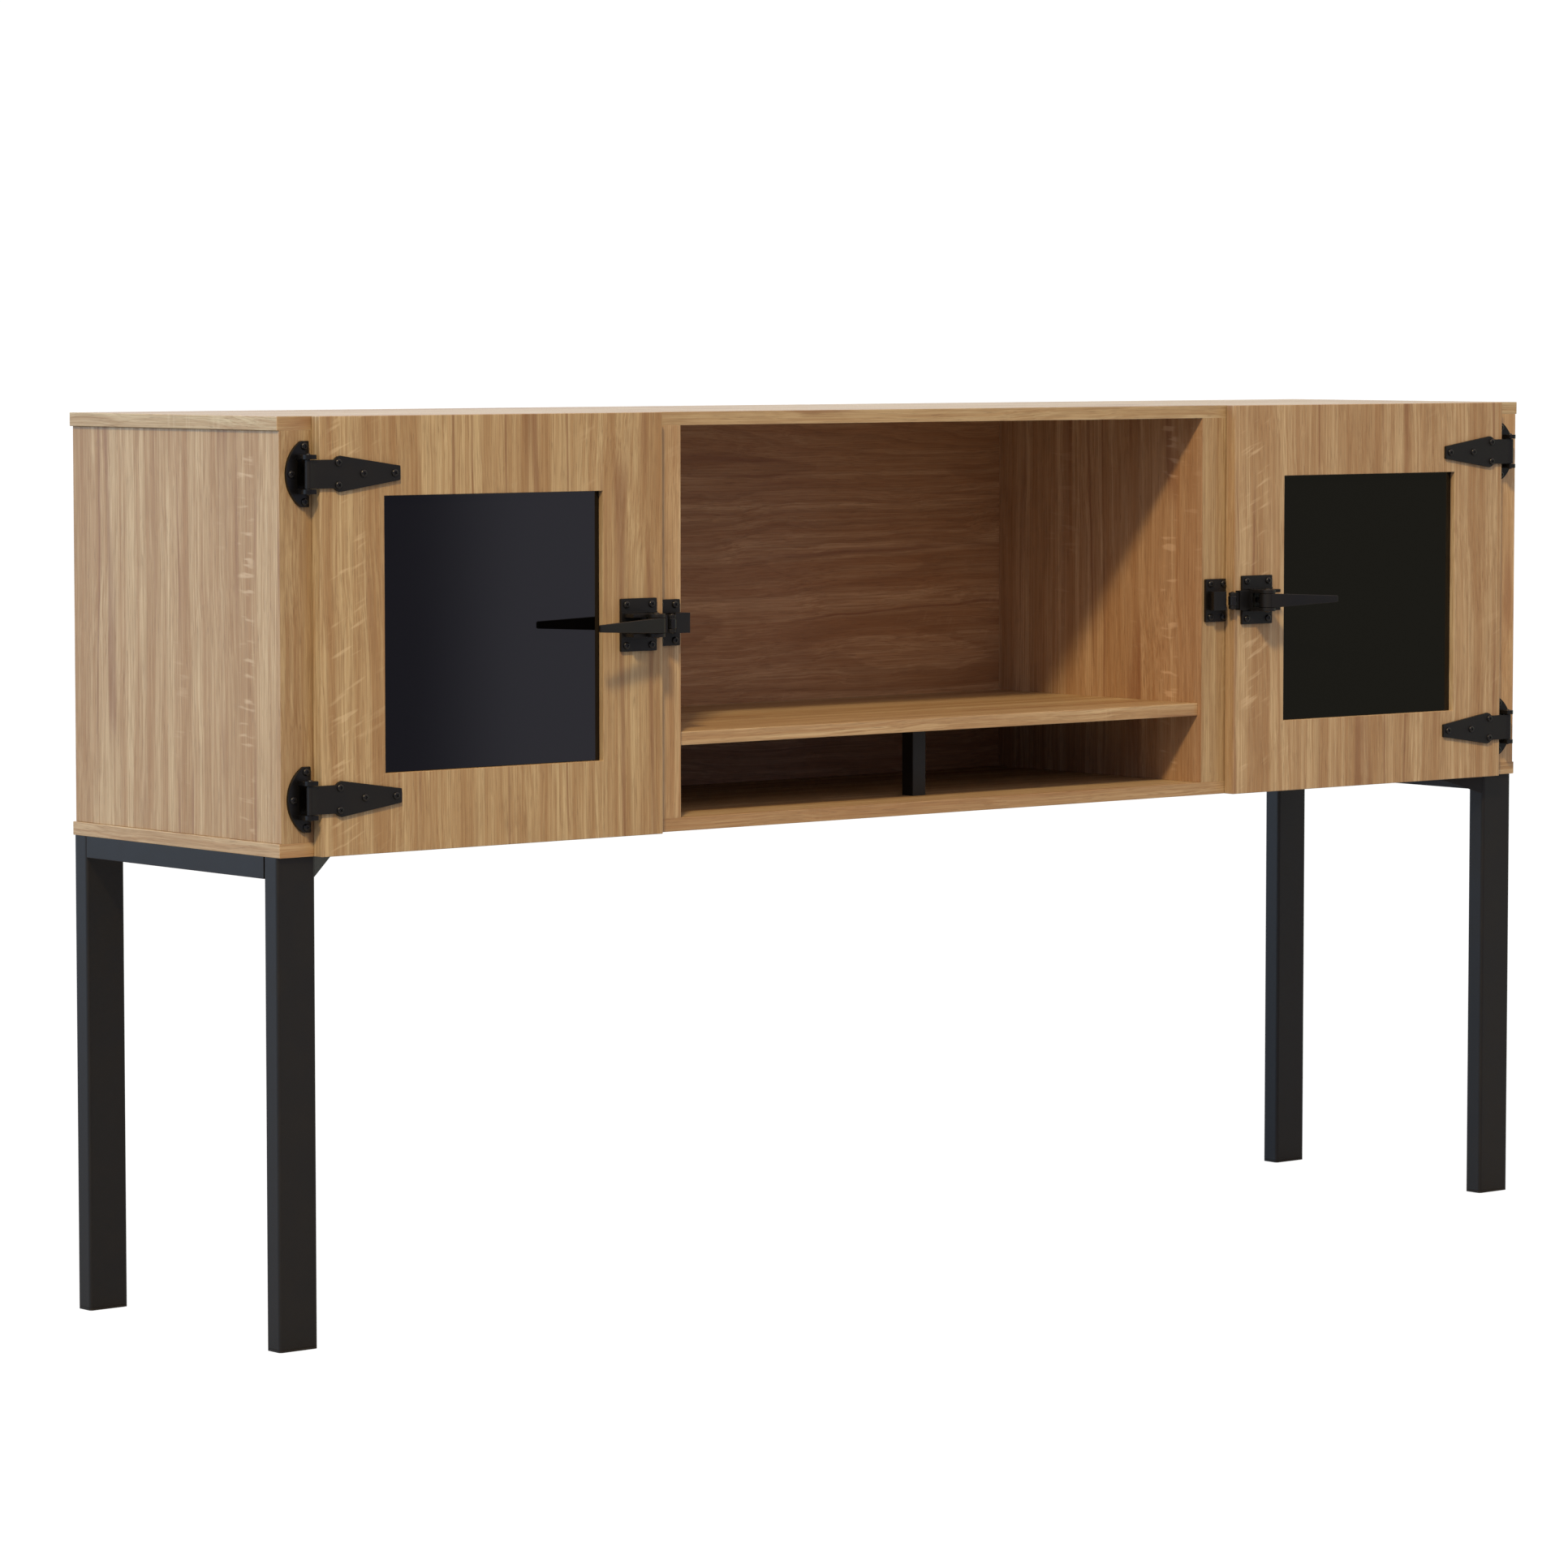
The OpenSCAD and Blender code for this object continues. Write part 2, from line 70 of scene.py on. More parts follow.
JOINTS = {joint["name"]: joint for joint in frame["joints"]}


# ---------- places, read from the frame ----------

def low(node):
    """Lowest corner of a CAD node."""
    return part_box(node)[0]


def high(node):
    """Highest corner of a CAD node."""
    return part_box(node)[1]


def middle(node):
    """Middle of a CAD node's box."""
    return (low(node) + high(node)) / 2


BOARD = high("top_panel").z - low("top_panel").z
CARCASS_FRONT = high("outer_stile_left").y - BOARD
# The door's front face and the hinge pin, in front of the carcass, in millimetres
DOOR_FRONT = (low("door_panel_left").y - CARCASS_FRONT) / MM
PIN_Y = (JOINTS["door_left_swing"]["pos_m"][1] - CARCASS_FRONT) / MM


def placed(side, x, y, z):
    """Matrix from a drawing in millimetres to the row frame, mirrored at the right-hand side."""
    flip = 1 if side == "left" else -1
    return Matrix.Translation((x, y, z)) @ Matrix.Diagonal((flip * MM, MM, MM, 1))


def hinge_place(side, level):
    """Hinge drawings start at the pin, at the carcass front and at the hinge's middle height.

    Their x runs from the pin towards the door's middle."""
    pin = JOINTS[f"door_{side}_swing"]["pos_m"]
    return placed(side, pin[0], CARCASS_FRONT, middle(f"hinge_strap_{level}_{side}").z)


def latch_place(side):
    """Latch drawings start at the door's free edge, at its front face and at its middle height."""
    door = f"door_panel_{side}"
    edge = high(door).x if side == "left" else low(door).x
    return placed(side, edge, low(door).y, middle(door).z)


def keeper_place(side):
    """Keeper drawings start at the keeper plate's edge beside the door, at the carcass front."""
    return latch_place(side) @ Matrix.Translation((KEEPER_PLAY, -DOOR_FRONT, 0))


# ---------- mesh helpers ----------

# A rim is rounded where faces meet at more than this angle, with this profile
RIM_ANGLE = math.radians(28)
RIM_PROFILE = 0.6
# Faces that meet at more than this angle are shaded apart
SHADE_ANGLE = math.radians(38)
# A rim this close to a face, in millimetres, lies on it
TOUCH = 0.01


def arc(cx, cy, radius, start, end, steps):
    """Points of a circular arc, angles in degrees."""
    angles = [math.radians(start + (end - start) * i / steps) for i in range(steps + 1)]
    return [(cx + radius * math.cos(a), cy + radius * math.sin(a)) for a in angles]


def rounded(points, radius, steps=4):
    """A closed outline with each corner rounded by a curve that starts radius away from it."""
    result = []
    for i, corner in enumerate(points):
        here = Vector(corner)
        before = Vector(points[i - 1]) - here
        after = Vector(points[(i + 1) % len(points)]) - here
        reach = min(radius, before.length / 2.2, after.length / 2.2)
        a = here + before.normalized() * reach
        b = here + after.normalized() * reach
        for k in range(steps + 1):
            t = k / steps
            result.append(tuple(a * (1 - t) ** 2 + here * 2 * t * (1 - t) + b * t ** 2))
    return result


def ring(bm, radius, height, steps, x=0.0, y=0.0):
    """Circle of vertices about an upright axis."""
    angles = [2 * math.pi * i / steps for i in range(steps)]
    return [bm.verts.new((x + radius * math.cos(a), y + radius * math.sin(a), height)) for a in angles]


def skin(bm, rings):
    """Joins each ring of vertices to the next one."""
    for a, b in zip(rings, rings[1:]):
        for i in range(len(a)):
            k = (i + 1) % len(a)
            bm.faces.new((a[i], a[k], b[k], b[i]))


def prism(outline, lowest, highest, axis, edge=0.0, sharp_at=None):
    """Solid with an outline across an axis, in x and z for 'y' and in x and y for 'z'.

    Its rims are rounded by edge, but for those whose middle passes the test sharp_at."""
    bm = bmesh.new()
    lift = {"y": lambda p, h: (p[0], h, p[1]), "z": lambda p, h: (p[0], p[1], h)}[axis]
    ends = [[bm.verts.new(lift(p, h)) for p in outline] for h in (lowest, highest)]
    for end in ends:
        bm.faces.new(end)
    skin(bm, ends)
    bmesh.ops.recalc_face_normals(bm, faces=bm.faces)
    if edge:
        sharp = [e for e in bm.edges if e.calc_face_angle(0) > RIM_ANGLE]
        if sharp_at:
            sharp = [e for e in sharp if not sharp_at((e.verts[0].co + e.verts[1].co) / 2)]
        bmesh.ops.bevel(
            bm, geom=sharp, offset=edge, segments=2, profile=RIM_PROFILE, affect="EDGES", clamp_overlap=True
        )
    return bm


def block(corner, size, edge=0.3):
    """Box with rounded edges, from its lowest corner and its size."""
    x, y, z = corner
    w, d, h = size
    return prism([(x, y), (x + w, y), (x + w, y + d), (x, y + d)], z, z + h, "z", edge)


def plate(outline, front, back, edge):
    """Flat plate with an outline in x and z, rounded at its front rims and sharp at its back."""
    return prism(outline, front, back, "y", edge, lambda p: p.y > back - TOUCH)


def rectangle(x0, x1, z0, z1):
    """Outline of a rectangle in x and z."""
    return [(x0, z0), (x1, z0), (x1, z1), (x0, z1)]


def bar(stations, corner=0.6):
    """Tapered bar along X with rounded long edges, from stations of (x, front y, back y, half height)."""
    bm = bmesh.new()
    rings = []
    for x, front, back, half in stations:
        outline = rounded([(front, -half), (back, -half), (back, half), (front, half)], corner, 3)
        rings.append([bm.verts.new((x, y, z)) for y, z in outline])
    skin(bm, rings)
    bm.faces.new(rings[0])
    bm.faces.new(rings[-1])
    bmesh.ops.recalc_face_normals(bm, faces=bm.faces)
    return bm


def turned(profile, steps=32, matrix=None):
    """Solid turned about Z from (radius, height) points, closed at both ends."""
    bm = bmesh.new()
    rings = [ring(bm, radius, height, steps) for radius, height in profile]
    skin(bm, rings)
    bm.faces.new(rings[0])
    bm.faces.new(rings[-1])
    bmesh.ops.recalc_face_normals(bm, faces=bm.faces)
    if matrix is not None:
        bm.transform(matrix)
    return bm


def tube(x, y, z0, z1, outer, inner, edge=0.3, steps=40):
    """Upright hollow cylinder with chamfered rims."""
    profile = [
        (inner, z0 + edge), (inner + edge, z0), (outer - edge, z0), (outer, z0 + edge),
        (outer, z1 - edge), (outer - edge, z1), (inner + edge, z1), (inner, z1 - edge),
    ]
    bm = bmesh.new()
    rings = [ring(bm, radius, height, steps, x, y) for radius, height in profile]
    skin(bm, rings + rings[:1])
    bmesh.ops.recalc_face_normals(bm, faces=bm.faces)
    return bm


# Pan-head screw, in millimetres: the head's radius and height, and its cross recess
HEAD_R = 3.3
HEAD_H = 1.8
CROSS_REACH = 1.55
CROSS_HALF = 0.36
CROSS_DEPTH = 1.0
CROSS_TAPER = 0.72
# Directions of the dome's points in one quarter, and its rings: share of the radius and drop of the height
DOME_ANGLES = (-13, 0, 13, 29, 45, 61)
DOME = ((0.58, 0.0), (0.76, 0.1), (0.89, 0.27), (0.97, 0.52), (1.0, 0.78), (1.0, 1.0))


def screw_head(matrix, turn=0.0, radius=HEAD_R, height=HEAD_H):
    """Domed head with a cross recess: its underside is at z = 0 and its crown points along +Z."""
    scale = radius / HEAD_R
    reach = CROSS_REACH * scale
    half = CROSS_HALF * scale
    bm = bmesh.new()
    cross = []
    angles = []
    for quarter in range(4):
        spin = Matrix.Rotation(math.radians(90 * quarter), 2)
        cross += [spin @ Vector(p) for p in ((reach, -half), (reach, half), (half, half))]
        angles += [90 * quarter + a for a in DOME_ANGLES]
    bottom = height - CROSS_DEPTH * scale
    floor = [bm.verts.new((p.x * CROSS_TAPER, p.y * CROSS_TAPER, bottom)) for p in cross]
    mouth = [bm.verts.new((p.x, p.y, height)) for p in cross]
    rings = []
    for share, drop in DOME:
        ways = [Vector((math.cos(math.radians(a)), math.sin(math.radians(a)))) for a in angles]
        points = [way * radius * share for way in ways]
        rings.append([bm.verts.new((p.x, p.y, height * (1 - drop))) for p in points])
    bm.faces.new(floor)
    count = len(cross)
    total = len(angles)
    for i in range(count):
        k = (i + 1) % count
        bm.faces.new((floor[i], floor[k], mouth[k], mouth[i]))
        near = [rings[0][(2 * i + step) % total] for step in (2, 1, 0)]
        bm.faces.new((mouth[i], mouth[k], *near))
    skin(bm, rings)
    bm.faces.new(rings[-1])
    bmesh.ops.recalc_face_normals(bm, faces=bm.faces)
    bm.transform(matrix @ Matrix.Rotation(turn, 4, "Z"))
    return bm


# Ways that a screw's head can face
FRONTWARDS = Matrix.Rotation(math.radians(90), 4, "X")
BACKWARDS = Matrix.Rotation(math.radians(-90), 4, "X")
DOWNWARDS = Matrix.Rotation(math.radians(180), 4, "X")
# The golden angle, so that no two screws beside each other stand alike
GOLDEN_TURN = 2.39996
SHANK_R = 1.75
SHANK_TIP = 0.3
SHANK_TAPER = 1.4
SHANK_OVERLAP = 0.2


def screws_at(places, axis=FRONTWARDS, length=9.0):
    """Screws whose heads' undersides are at points in millimetres, each turned differently."""
    profile = [(SHANK_R, SHANK_OVERLAP), (SHANK_R, SHANK_R * SHANK_TAPER - length), (SHANK_TIP, -length)]
    solids = []
    for i, point in enumerate(places):
        at = Matrix.Translation(point) @ axis
        solids += [screw_head(at, GOLDEN_TURN * i), turned(profile, 12, at)]
    return solids


def rivet(x, y, half, radius, head_radius, head_height):
    """Upright pin with a domed head on each end, its shank 2 * half long."""
    dome = [(math.cos(math.radians(a)), math.sin(math.radians(a))) for a in (0, 25, 50, 72)]
    upper = [(head_radius * c, half + head_height * up) for c, up in dome]
    lower = [(out, -height) for out, height in reversed(upper)]
    profile = lower + [(radius, -half), (radius, half)] + upper
    return turned(profile, 28, Matrix.Translation((x, y, 0)))


def put(place, solids):
    """The drawn solids, moved to their place in the row frame."""
    for solid in solids:
        solid.transform(place)
        if place.determinant() < 0:
            bmesh.ops.reverse_faces(solid, faces=solid.faces)
    return solids


def piece(node, body, material, solids):
    """One object from several solids in the row frame, which rides on a body and stands for a CAD node."""
    name = f"{node}_detail"
    mesh = bpy.data.meshes.new(name)
    whole = bmesh.new()
    for solid in solids:
        part = bpy.data.meshes.new("part")
        solid.to_mesh(part)
        solid.free()
        whole.from_mesh(part)
        bpy.data.meshes.remove(part)
    for face in whole.faces:
        face.smooth = True
    for edge in whole.edges:
        edge.smooth = edge.calc_face_angle(0) < SHADE_ANGLE
    whole.to_mesh(mesh)
    whole.free()
    mesh.materials.append(material)
    obj = bpy.data.objects.new(name, mesh)
    link(obj)
    normals = obj.modifiers.new("normals", "WEIGHTED_NORMAL")
    normals.keep_sharp = True
    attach(obj, body)
    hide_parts(node)


# ---------- materials ----------

class Nodes:
    """A node tree whose nodes are added one at a time."""

    def __init__(self, tree):
        self.tree = tree

    def give(self, socket, value):
        """Links a socket's value to a socket, or sets a plain one."""
        if isinstance(value, bpy.types.NodeSocket):
            self.tree.links.new(value, socket)
        else:
            socket.default_value = value

    def add(self, kind, *inputs, **settings):
        """Adds a node; inputs are values or sockets in order, and None leaves one as it is."""
        node = self.tree.nodes.new(kind)
        for key, value in settings.items():
            setattr(node, key, value)
        for socket, value in zip(node.inputs, inputs):
            if value is not None:
                self.give(socket, value)
        return node

    def math(self, operation, a, b=None, c=None):
        """One step of arithmetic."""
        return self.add("ShaderNodeMath", a, b, c, operation=operation).outputs[0]

    def stretched(self, vector, scale):
        """The vector with its three components scaled."""
        return self.add("ShaderNodeVectorMath", vector, scale, operation="MULTIPLY").outputs[0]

    def noise(self, vector, detail=2.0, roughness=0.5):
        """Noise whose scale is that of its vector."""
        node = self.add("ShaderNodeTexNoise", vector)
        node.inputs["Scale"].default_value = 1.0
        node.inputs["Detail"].default_value = detail
        node.inputs["Roughness"].default_value = roughness
        return node.outputs["Fac"]

    def remap(self, value, low_in, high_in, low_out=0.0, high_out=1.0):
        """A smooth step from one value to another."""
        node = self.add("ShaderNodeMapRange", value, interpolation_type="SMOOTHSTEP")
        numbers = {"From Min": low_in, "From Max": high_in, "To Min": low_out, "To Max": high_out}
        for key, number in numbers.items():
            node.inputs[key].default_value = number
        return node.outputs["Result"]

    def blend(self, share, a, b):
        """Colour b over colour a by a share; its colour inputs come after those for numbers and vectors."""
        node = self.add("ShaderNodeMix", share, data_type="RGBA")
        for socket, value in ((node.inputs[6], a), (node.inputs[7], b)):
            self.give(socket, (*value, 1.0) if isinstance(value, tuple) else value)
        return node.outputs[2]

    def bump(self, height, distance, strength):
        """Bumps of a height in metres."""
        node = self.add("ShaderNodeBump")
        node.inputs["Strength"].default_value = strength
        node.inputs["Distance"].default_value = distance
        self.tree.links.new(height, node.inputs["Height"])
        return node.outputs["Normal"]


class Shader(Nodes):
    """A new material's nodes."""

    def __init__(self, name):
        self.material = bpy.data.materials.new(name)
        self.material.use_nodes = True
        super().__init__(self.material.node_tree)
        self.surface = self.tree.nodes["Principled BSDF"]

    def set(self, **values):
        """Sets or links inputs of the surface shader; underscores stand for spaces."""
        for key, value in values.items():
            self.give(self.surface.inputs[key.replace("_", " ")], value)

    def point(self):
        """The object's coordinates, which are those of the row frame in metres."""
        return self.add("ShaderNodeTexCoord").outputs["Object"]


# Oak colours, linear
OAK_PALE = (0.604, 0.494, 0.310)
OAK_MID = (0.455, 0.331, 0.187)
OAK_WARM = (0.355, 0.210, 0.097)
OAK_DEEP = (0.235, 0.135, 0.062)
OAK_THREAD = (0.225, 0.105, 0.052)
OAK_PORE = (0.130, 0.075, 0.036)
OAK_FLECK = (0.740, 0.620, 0.425)
# Layers of the figure: frequencies across and along the grain per metre, detail, roughness, and
# the values between which each one appears
BANDS = (34, 0.6, 2.0, 0.6, 0.40, 0.60)
TONES = (95, 1.4, 2.0, 0.6, 0.42, 0.64)
STRIPES = (420, 3.0, 2.0, 0.6, 0.42, 0.62)
FIBRE = (1050, 14, 2.0, 0.6, 0.38, 0.66)
PORES = (1500, 55, 1.0, 0.5, 0.60, 0.72)
CLOUDS = (60, 26, 3.0, 0.5, 0.40, 0.64)
THREAD_LENGTHS = (14, 4, 1.0, 0.5, 0.46, 0.60)
FLECK_PATCHES = (22, 4.5, 2.0, 0.5, 0.57, 0.72)
RING_COUNT = 26.0
# A face counts as a board's end where its normal is this close to the grain's direction
END_FACING = 0.8
# Ray flecks: how steeply they lie across the grain, and how many there are along and across it per metre
FLECK_SLOPE = 0.45
FLECKS_ALONG = 140.0
FLECKS_ACROSS = 26.0


def oak(name, grain, seed, wander, fleck_at, tone, rings):
    """Oak-faced board. grain lists the row axes that run across, through and along the grain.

    seed shifts the figure, wander is how far its lines stray, fleck_at is a column of ray flecks or None
    (its middle across the grain and its half width, in metres, and its flecks' slope), tone multiplies the
    colour, and rings strengthens the arched growth rings. Ends that would show end grain are faced with a
    strip whose grain runs along the edge."""
    s = Shader(name)

    def layer(vector, fine, long, detail, roughness, start, end):
        """One layer of the figure, as a smooth step of a noise that is stretched along the grain."""
        return s.remap(s.noise(s.stretched(vector, (fine, fine, long)), detail, roughness), start, end)

    coordinates = s.add("ShaderNodeTexCoord")
    split = s.add("ShaderNodeSeparateXYZ", coordinates.outputs["Object"])
    across, through, along = [split.outputs["XYZ".index(a)] for a in grain]
    normal = s.add("ShaderNodeSeparateXYZ", coordinates.outputs["Normal"]).outputs["XYZ".index(grain[2])]
    ends = s.math("GREATER_THAN", s.math("ABSOLUTE", normal), END_FACING)
    swap = s.math("MULTIPLY", ends, s.math("SUBTRACT", along, across))
    across = s.math("ADD", across, swap)
    along = s.math("SUBTRACT", along, swap)
    plain = s.add("ShaderNodeCombineXYZ", across, through, along).outputs[0]
    shift = (seed * 1.37, seed * 2.11, seed * 3.73)
    shifted = s.add("ShaderNodeVectorMath", plain, shift, operation="ADD").outputs[0]

    drift = s.math("SUBTRACT", s.noise(s.stretched(shifted, (5, 5, 1.6)), 3.0), 0.5)
    ripple = s.math("SUBTRACT", s.noise(s.stretched(shifted, (30, 30, 10)), 2.0), 0.5)
    sway = s.math("MULTIPLY_ADD", drift, wander * 8, s.math("MULTIPLY", ripple, wander * 0.8))
    sideways = s.add("ShaderNodeCombineXYZ", sway, sway, 0.0).outputs[0]
    moved = s.add("ShaderNodeVectorMath", shifted, sideways, operation="ADD").outputs[0]

    bands = layer(moved, *BANDS)
    tones = layer(moved, *TONES)
    stripes = layer(moved, *STRIPES)
    fibre = layer(moved, *FIBRE)
    pores = layer(moved, *PORES)
    clouds = layer(shifted, *CLOUDS)

    # Growth rings: contours of a slow field, so that they run with the grain and close into arches
    field = s.math("MULTIPLY", s.noise(s.stretched(moved, (8, 8, 0.9)), 1.5, 0.4), RING_COUNT)
    phase = s.math("FRACT", field)
    late = s.math("MULTIPLY", s.remap(phase, 0.45, 0.93), s.remap(phase, 0.93, 1.0, 1.0, 0.0))

    # Threads: long thin brown lines where a slow field passes its middle, which fade in and out
    slow = s.noise(s.stretched(moved, (24, 24, 0.45)), 1.0, 0.5)
    near = s.remap(s.math("ABSOLUTE", s.math("SUBTRACT", slow, 0.5)), 0.004, 0.030, 1.0, 0.0)
    thread = s.math("MULTIPLY", near, layer(moved, *THREAD_LENGTHS))

    colour = s.blend(bands, OAK_MID, OAK_PALE)
    for mask, strength, tint in (
        (clouds, 0.16, OAK_PALE),
        (tones, 0.46, OAK_WARM),
        (late, 0.12 + rings, OAK_DEEP),
        (stripes, 0.46, OAK_WARM),
        (thread, 0.60, OAK_THREAD),
        (fibre, 0.40, OAK_DEEP),
        (pores, 0.32, OAK_PORE),
    ):
        colour = s.blend(s.math("MULTIPLY", mask, strength), colour, tint)

    # Ray flecks: short pale waves that lie across the grain
    centre, half, slope = fleck_at or (0.0, 0.0, FLECK_SLOPE)
    level = s.math("MULTIPLY_ADD", along, FLECKS_ALONG, s.math("MULTIPLY", across, -FLECKS_ALONG * slope))
    wave_at = s.add("ShaderNodeCombineXYZ", s.math("MULTIPLY", across, FLECKS_ACROSS), seed * 1.9, level)
    waves = s.remap(s.noise(wave_at.outputs[0], 2.0, 0.55), 0.56, 0.68)
    patches = s.math("MULTIPLY", layer(shifted, *FLECK_PATCHES), 0.35)
    if half:
        off = s.math("ABSOLUTE", s.math("SUBTRACT", across, centre))
        column = s.remap(off, half * 0.4, half, 1.0, 0.0)
        patches = s.math("MAXIMUM", patches, column)
    flecks = s.math("MULTIPLY", waves, patches)
    colour = s.blend(s.math("MULTIPLY", flecks, 0.42), colour, OAK_FLECK)

    relief = s.math("SUBTRACT", s.math("MULTIPLY", fibre, -0.4), pores)
    s.set(
        Base_Color=s.stretched(colour, tone),
        Roughness=s.math("MULTIPLY_ADD", fibre, 0.10, s.math("MULTIPLY_ADD", flecks, -0.08, 0.42)),
        Normal=s.bump(relief, 0.00006, 0.6),
        Specular_IOR_Level=0.5,
    )
    return s.material


# Painted shade for the hinge plates' recesses: how far it fades in before and behind its depth, in metres,
# and its near-black colour
SHADE_FADE = (0.0004, 0.0002)
PAINTED_SHADE = (0.0008, 0.0008, 0.0008)
STEEL_TINT = (0.90, 0.96, 1.0, 1)


def black_steel(name, tone=0.0050, roughness=0.42, grain=900.0, gloss=0.43, shade_depth=None):
    """Black powder coat: a fine orange peel, with duller and browner patches.

    The last argument is a depth along Y, in metres: behind it the colour is painted nearly black, as painted
    shade in a recess."""
    s = Shader(name)
    point = s.point()
    peel = s.noise(s.stretched(point, (grain,) * 3), 2.0)
    cloud = s.noise(s.stretched(point, (35,) * 3), 3.0)
    dust = s.remap(s.noise(s.stretched(point, (2600,) * 3), 1.0), 0.66, 0.78)
    cool = (tone * 0.85, tone * 0.92, tone * 1.10)
    warm = (tone * 1.10, tone * 1.06, tone * 1.04)
    colour = s.blend(s.remap(cloud, 0.3, 0.7), cool, warm)
    colour = s.blend(s.math("MULTIPLY", dust, 0.35), colour, (tone * 3, tone * 2.9, tone * 2.8))
    # Painted shade: behind the given depth the coat turns nearly black, standing in for the shade deep in a
    # recess
    if shade_depth is not None:
        depth = s.add("ShaderNodeSeparateXYZ", point).outputs["Y"]
        hidden = s.remap(depth, shade_depth - SHADE_FADE[0], shade_depth + SHADE_FADE[1])
        colour = s.blend(hidden, colour, PAINTED_SHADE)
    s.set(
        Base_Color=colour,
        Roughness=s.math("MULTIPLY_ADD", cloud, 0.16, roughness - 0.08),
        Normal=s.bump(peel, 0.00004, 0.6),
        Specular_IOR_Level=gloss,
        Specular_Tint=STEEL_TINT,
    )
    return s.material


def dark_glass():
    """Tinted glass, nearly black, with a faint film that varies its gloss."""
    s = Shader("dark_glass")
    film = s.noise(s.stretched(s.point(), (9,) * 3), 4.0)
    s.set(
        Base_Color=s.blend(film, (0.0010, 0.0010, 0.0012), (0.0014, 0.0014, 0.0015)),
        Roughness=s.math("MULTIPLY_ADD", film, 0.03, 0.02),
        Specular_IOR_Level=0.5,
    )
    return s.material


def plastic(name, tone):
    """Matt black moulding with a fine spark texture."""
    s = Shader(name)
    spark = s.noise(s.stretched(s.point(), (1800,) * 3), 2.0)
    s.set(
        Base_Color=s.blend(spark, (tone * 0.85,) * 3, (tone * 1.2,) * 3),
        Roughness=s.math("MULTIPLY_ADD", spark, 0.15, 0.5),
        Normal=s.bump(spark, 0.00004, 0.6),
    )
    return s.material


def zinc():
    """Zinc plate with a cloudy passivated film."""
    s = Shader("zinc")
    cloud = s.noise(s.stretched(s.point(), (160,) * 3), 3.0)
    s.set(
        Base_Color=s.blend(cloud, (0.40, 0.41, 0.43), (0.58, 0.58, 0.56)),
        Roughness=s.math("MULTIPLY_ADD", cloud, 0.2, 0.26),
        Metallic=1.0,
        Normal=s.bump(cloud, 0.00003, 0.5),
    )
    return s.material


# ---------- wood ----------

# Columns of ray flecks, in metres: a wide one near each door's left edge, as both doors are cut from one
# sheet pattern, and narrow ones of nearly level flecks near the front edges of two upright boards
WIDE_INSET = 0.028
WIDE_HALF = 0.024
NARROW_HALF = 0.015
NARROW_SLOPE = 0.05
# How far sharp edges are rounded, in millimetres
PANEL_ROUND = 0.5
STILE_ROUND = 0.35
STEEL_ROUND = 0.4


def dress_wood():
    """Gives every board its own oak and softens its edges."""
    plain = (1.0, 1.0, 1.0)
    wide = {side: (low(f"door_panel_{side}").x + WIDE_INSET, WIDE_HALF, FLECK_SLOPE) for side in SIDES}
    end_column = (low("side_panel_left").y + 0.050, NARROW_HALF, NARROW_SLOPE)
    bay_column = (low("divider_right").y + 0.045, NARROW_HALF, NARROW_SLOPE)
    # Grain axes, seed, wander, column of flecks, tone and growth rings of each board
    boards = {
        "door_panel_left": ("XYZ", 1.0, 0.004, wide["left"], (0.94, 0.96, 0.93), 0.0),
        "door_panel_right": ("XYZ", 1.73, 0.004, wide["right"], plain, 0.0),
        "outer_stile_left": ("XYZ", 3.1, 0.006, None, (0.80, 0.80, 0.78), 0.0),
        # The right outer stile's tone is painted light: it is lightened to make up for the shade that the
        # right door casts on it
        "outer_stile_right": ("XYZ", 3.7, 0.006, None, (1.22, 1.22, 1.20), 0.0),
        "inner_stile_left": ("XYZ", 4.2, 0.004, None, plain, 0.0),
        "inner_stile_right": ("XYZ", 4.9, 0.004, None, (0.90, 0.90, 0.86), 0.0),
        "side_panel_left": ("YXZ", 5.3, 0.003, end_column, plain, 0.0),
        "side_panel_right": ("YXZ", 5.9, 0.003, None, plain, 0.0),
        "divider_left": ("YXZ", 6.4, 0.004, None, plain, 0.0),
        "divider_right": ("YXZ", 6.9, 0.004, bay_column, (1.04, 0.95, 0.99), 0.0),
        "top_panel": ("YZX", 7.6, 0.004, None, (1.07, 1.18, 1.25), 0.0),
        "bottom_panel": ("YZX", 8.3, 0.004, None, plain, 0.0),
        "centre_shelf": ("YZX", 9.4, 0.004, None, plain, 0.0),
        "back_panel": ("ZYX", 10.2, 0.007, None, (0.95, 0.78, 0.72), 0.25),
        "panel_dowels": ("XYZ", 12.0, 0.002, None, plain, 0.0),
    }
    for node, figure in boards.items():
        obj = frame["nodes"][node]
        obj.material_slots[0].material = oak(f"oak_{node}", *figure)
        soften(obj, PANEL_ROUND if "panel" in node or "shelf" in node else STILE_ROUND)


def soften(obj, width):
    """Rounds a CAD part's sharp edges by a width in millimetres, without changing its mesh."""
    weld = obj.modifiers.new("weld", "WELD")
    weld.merge_threshold = 0.00001
    bevel = obj.modifiers.new("bevel", "BEVEL")
    bevel.width = width * MM
    bevel.segments = 2
    bevel.limit_method = "ANGLE"
    bevel.angle_limit = math.radians(35)
    normals = obj.modifiers.new("normals", "WEIGHTED_NORMAL")
    normals.keep_sharp = True


# ---------- hinges ----------

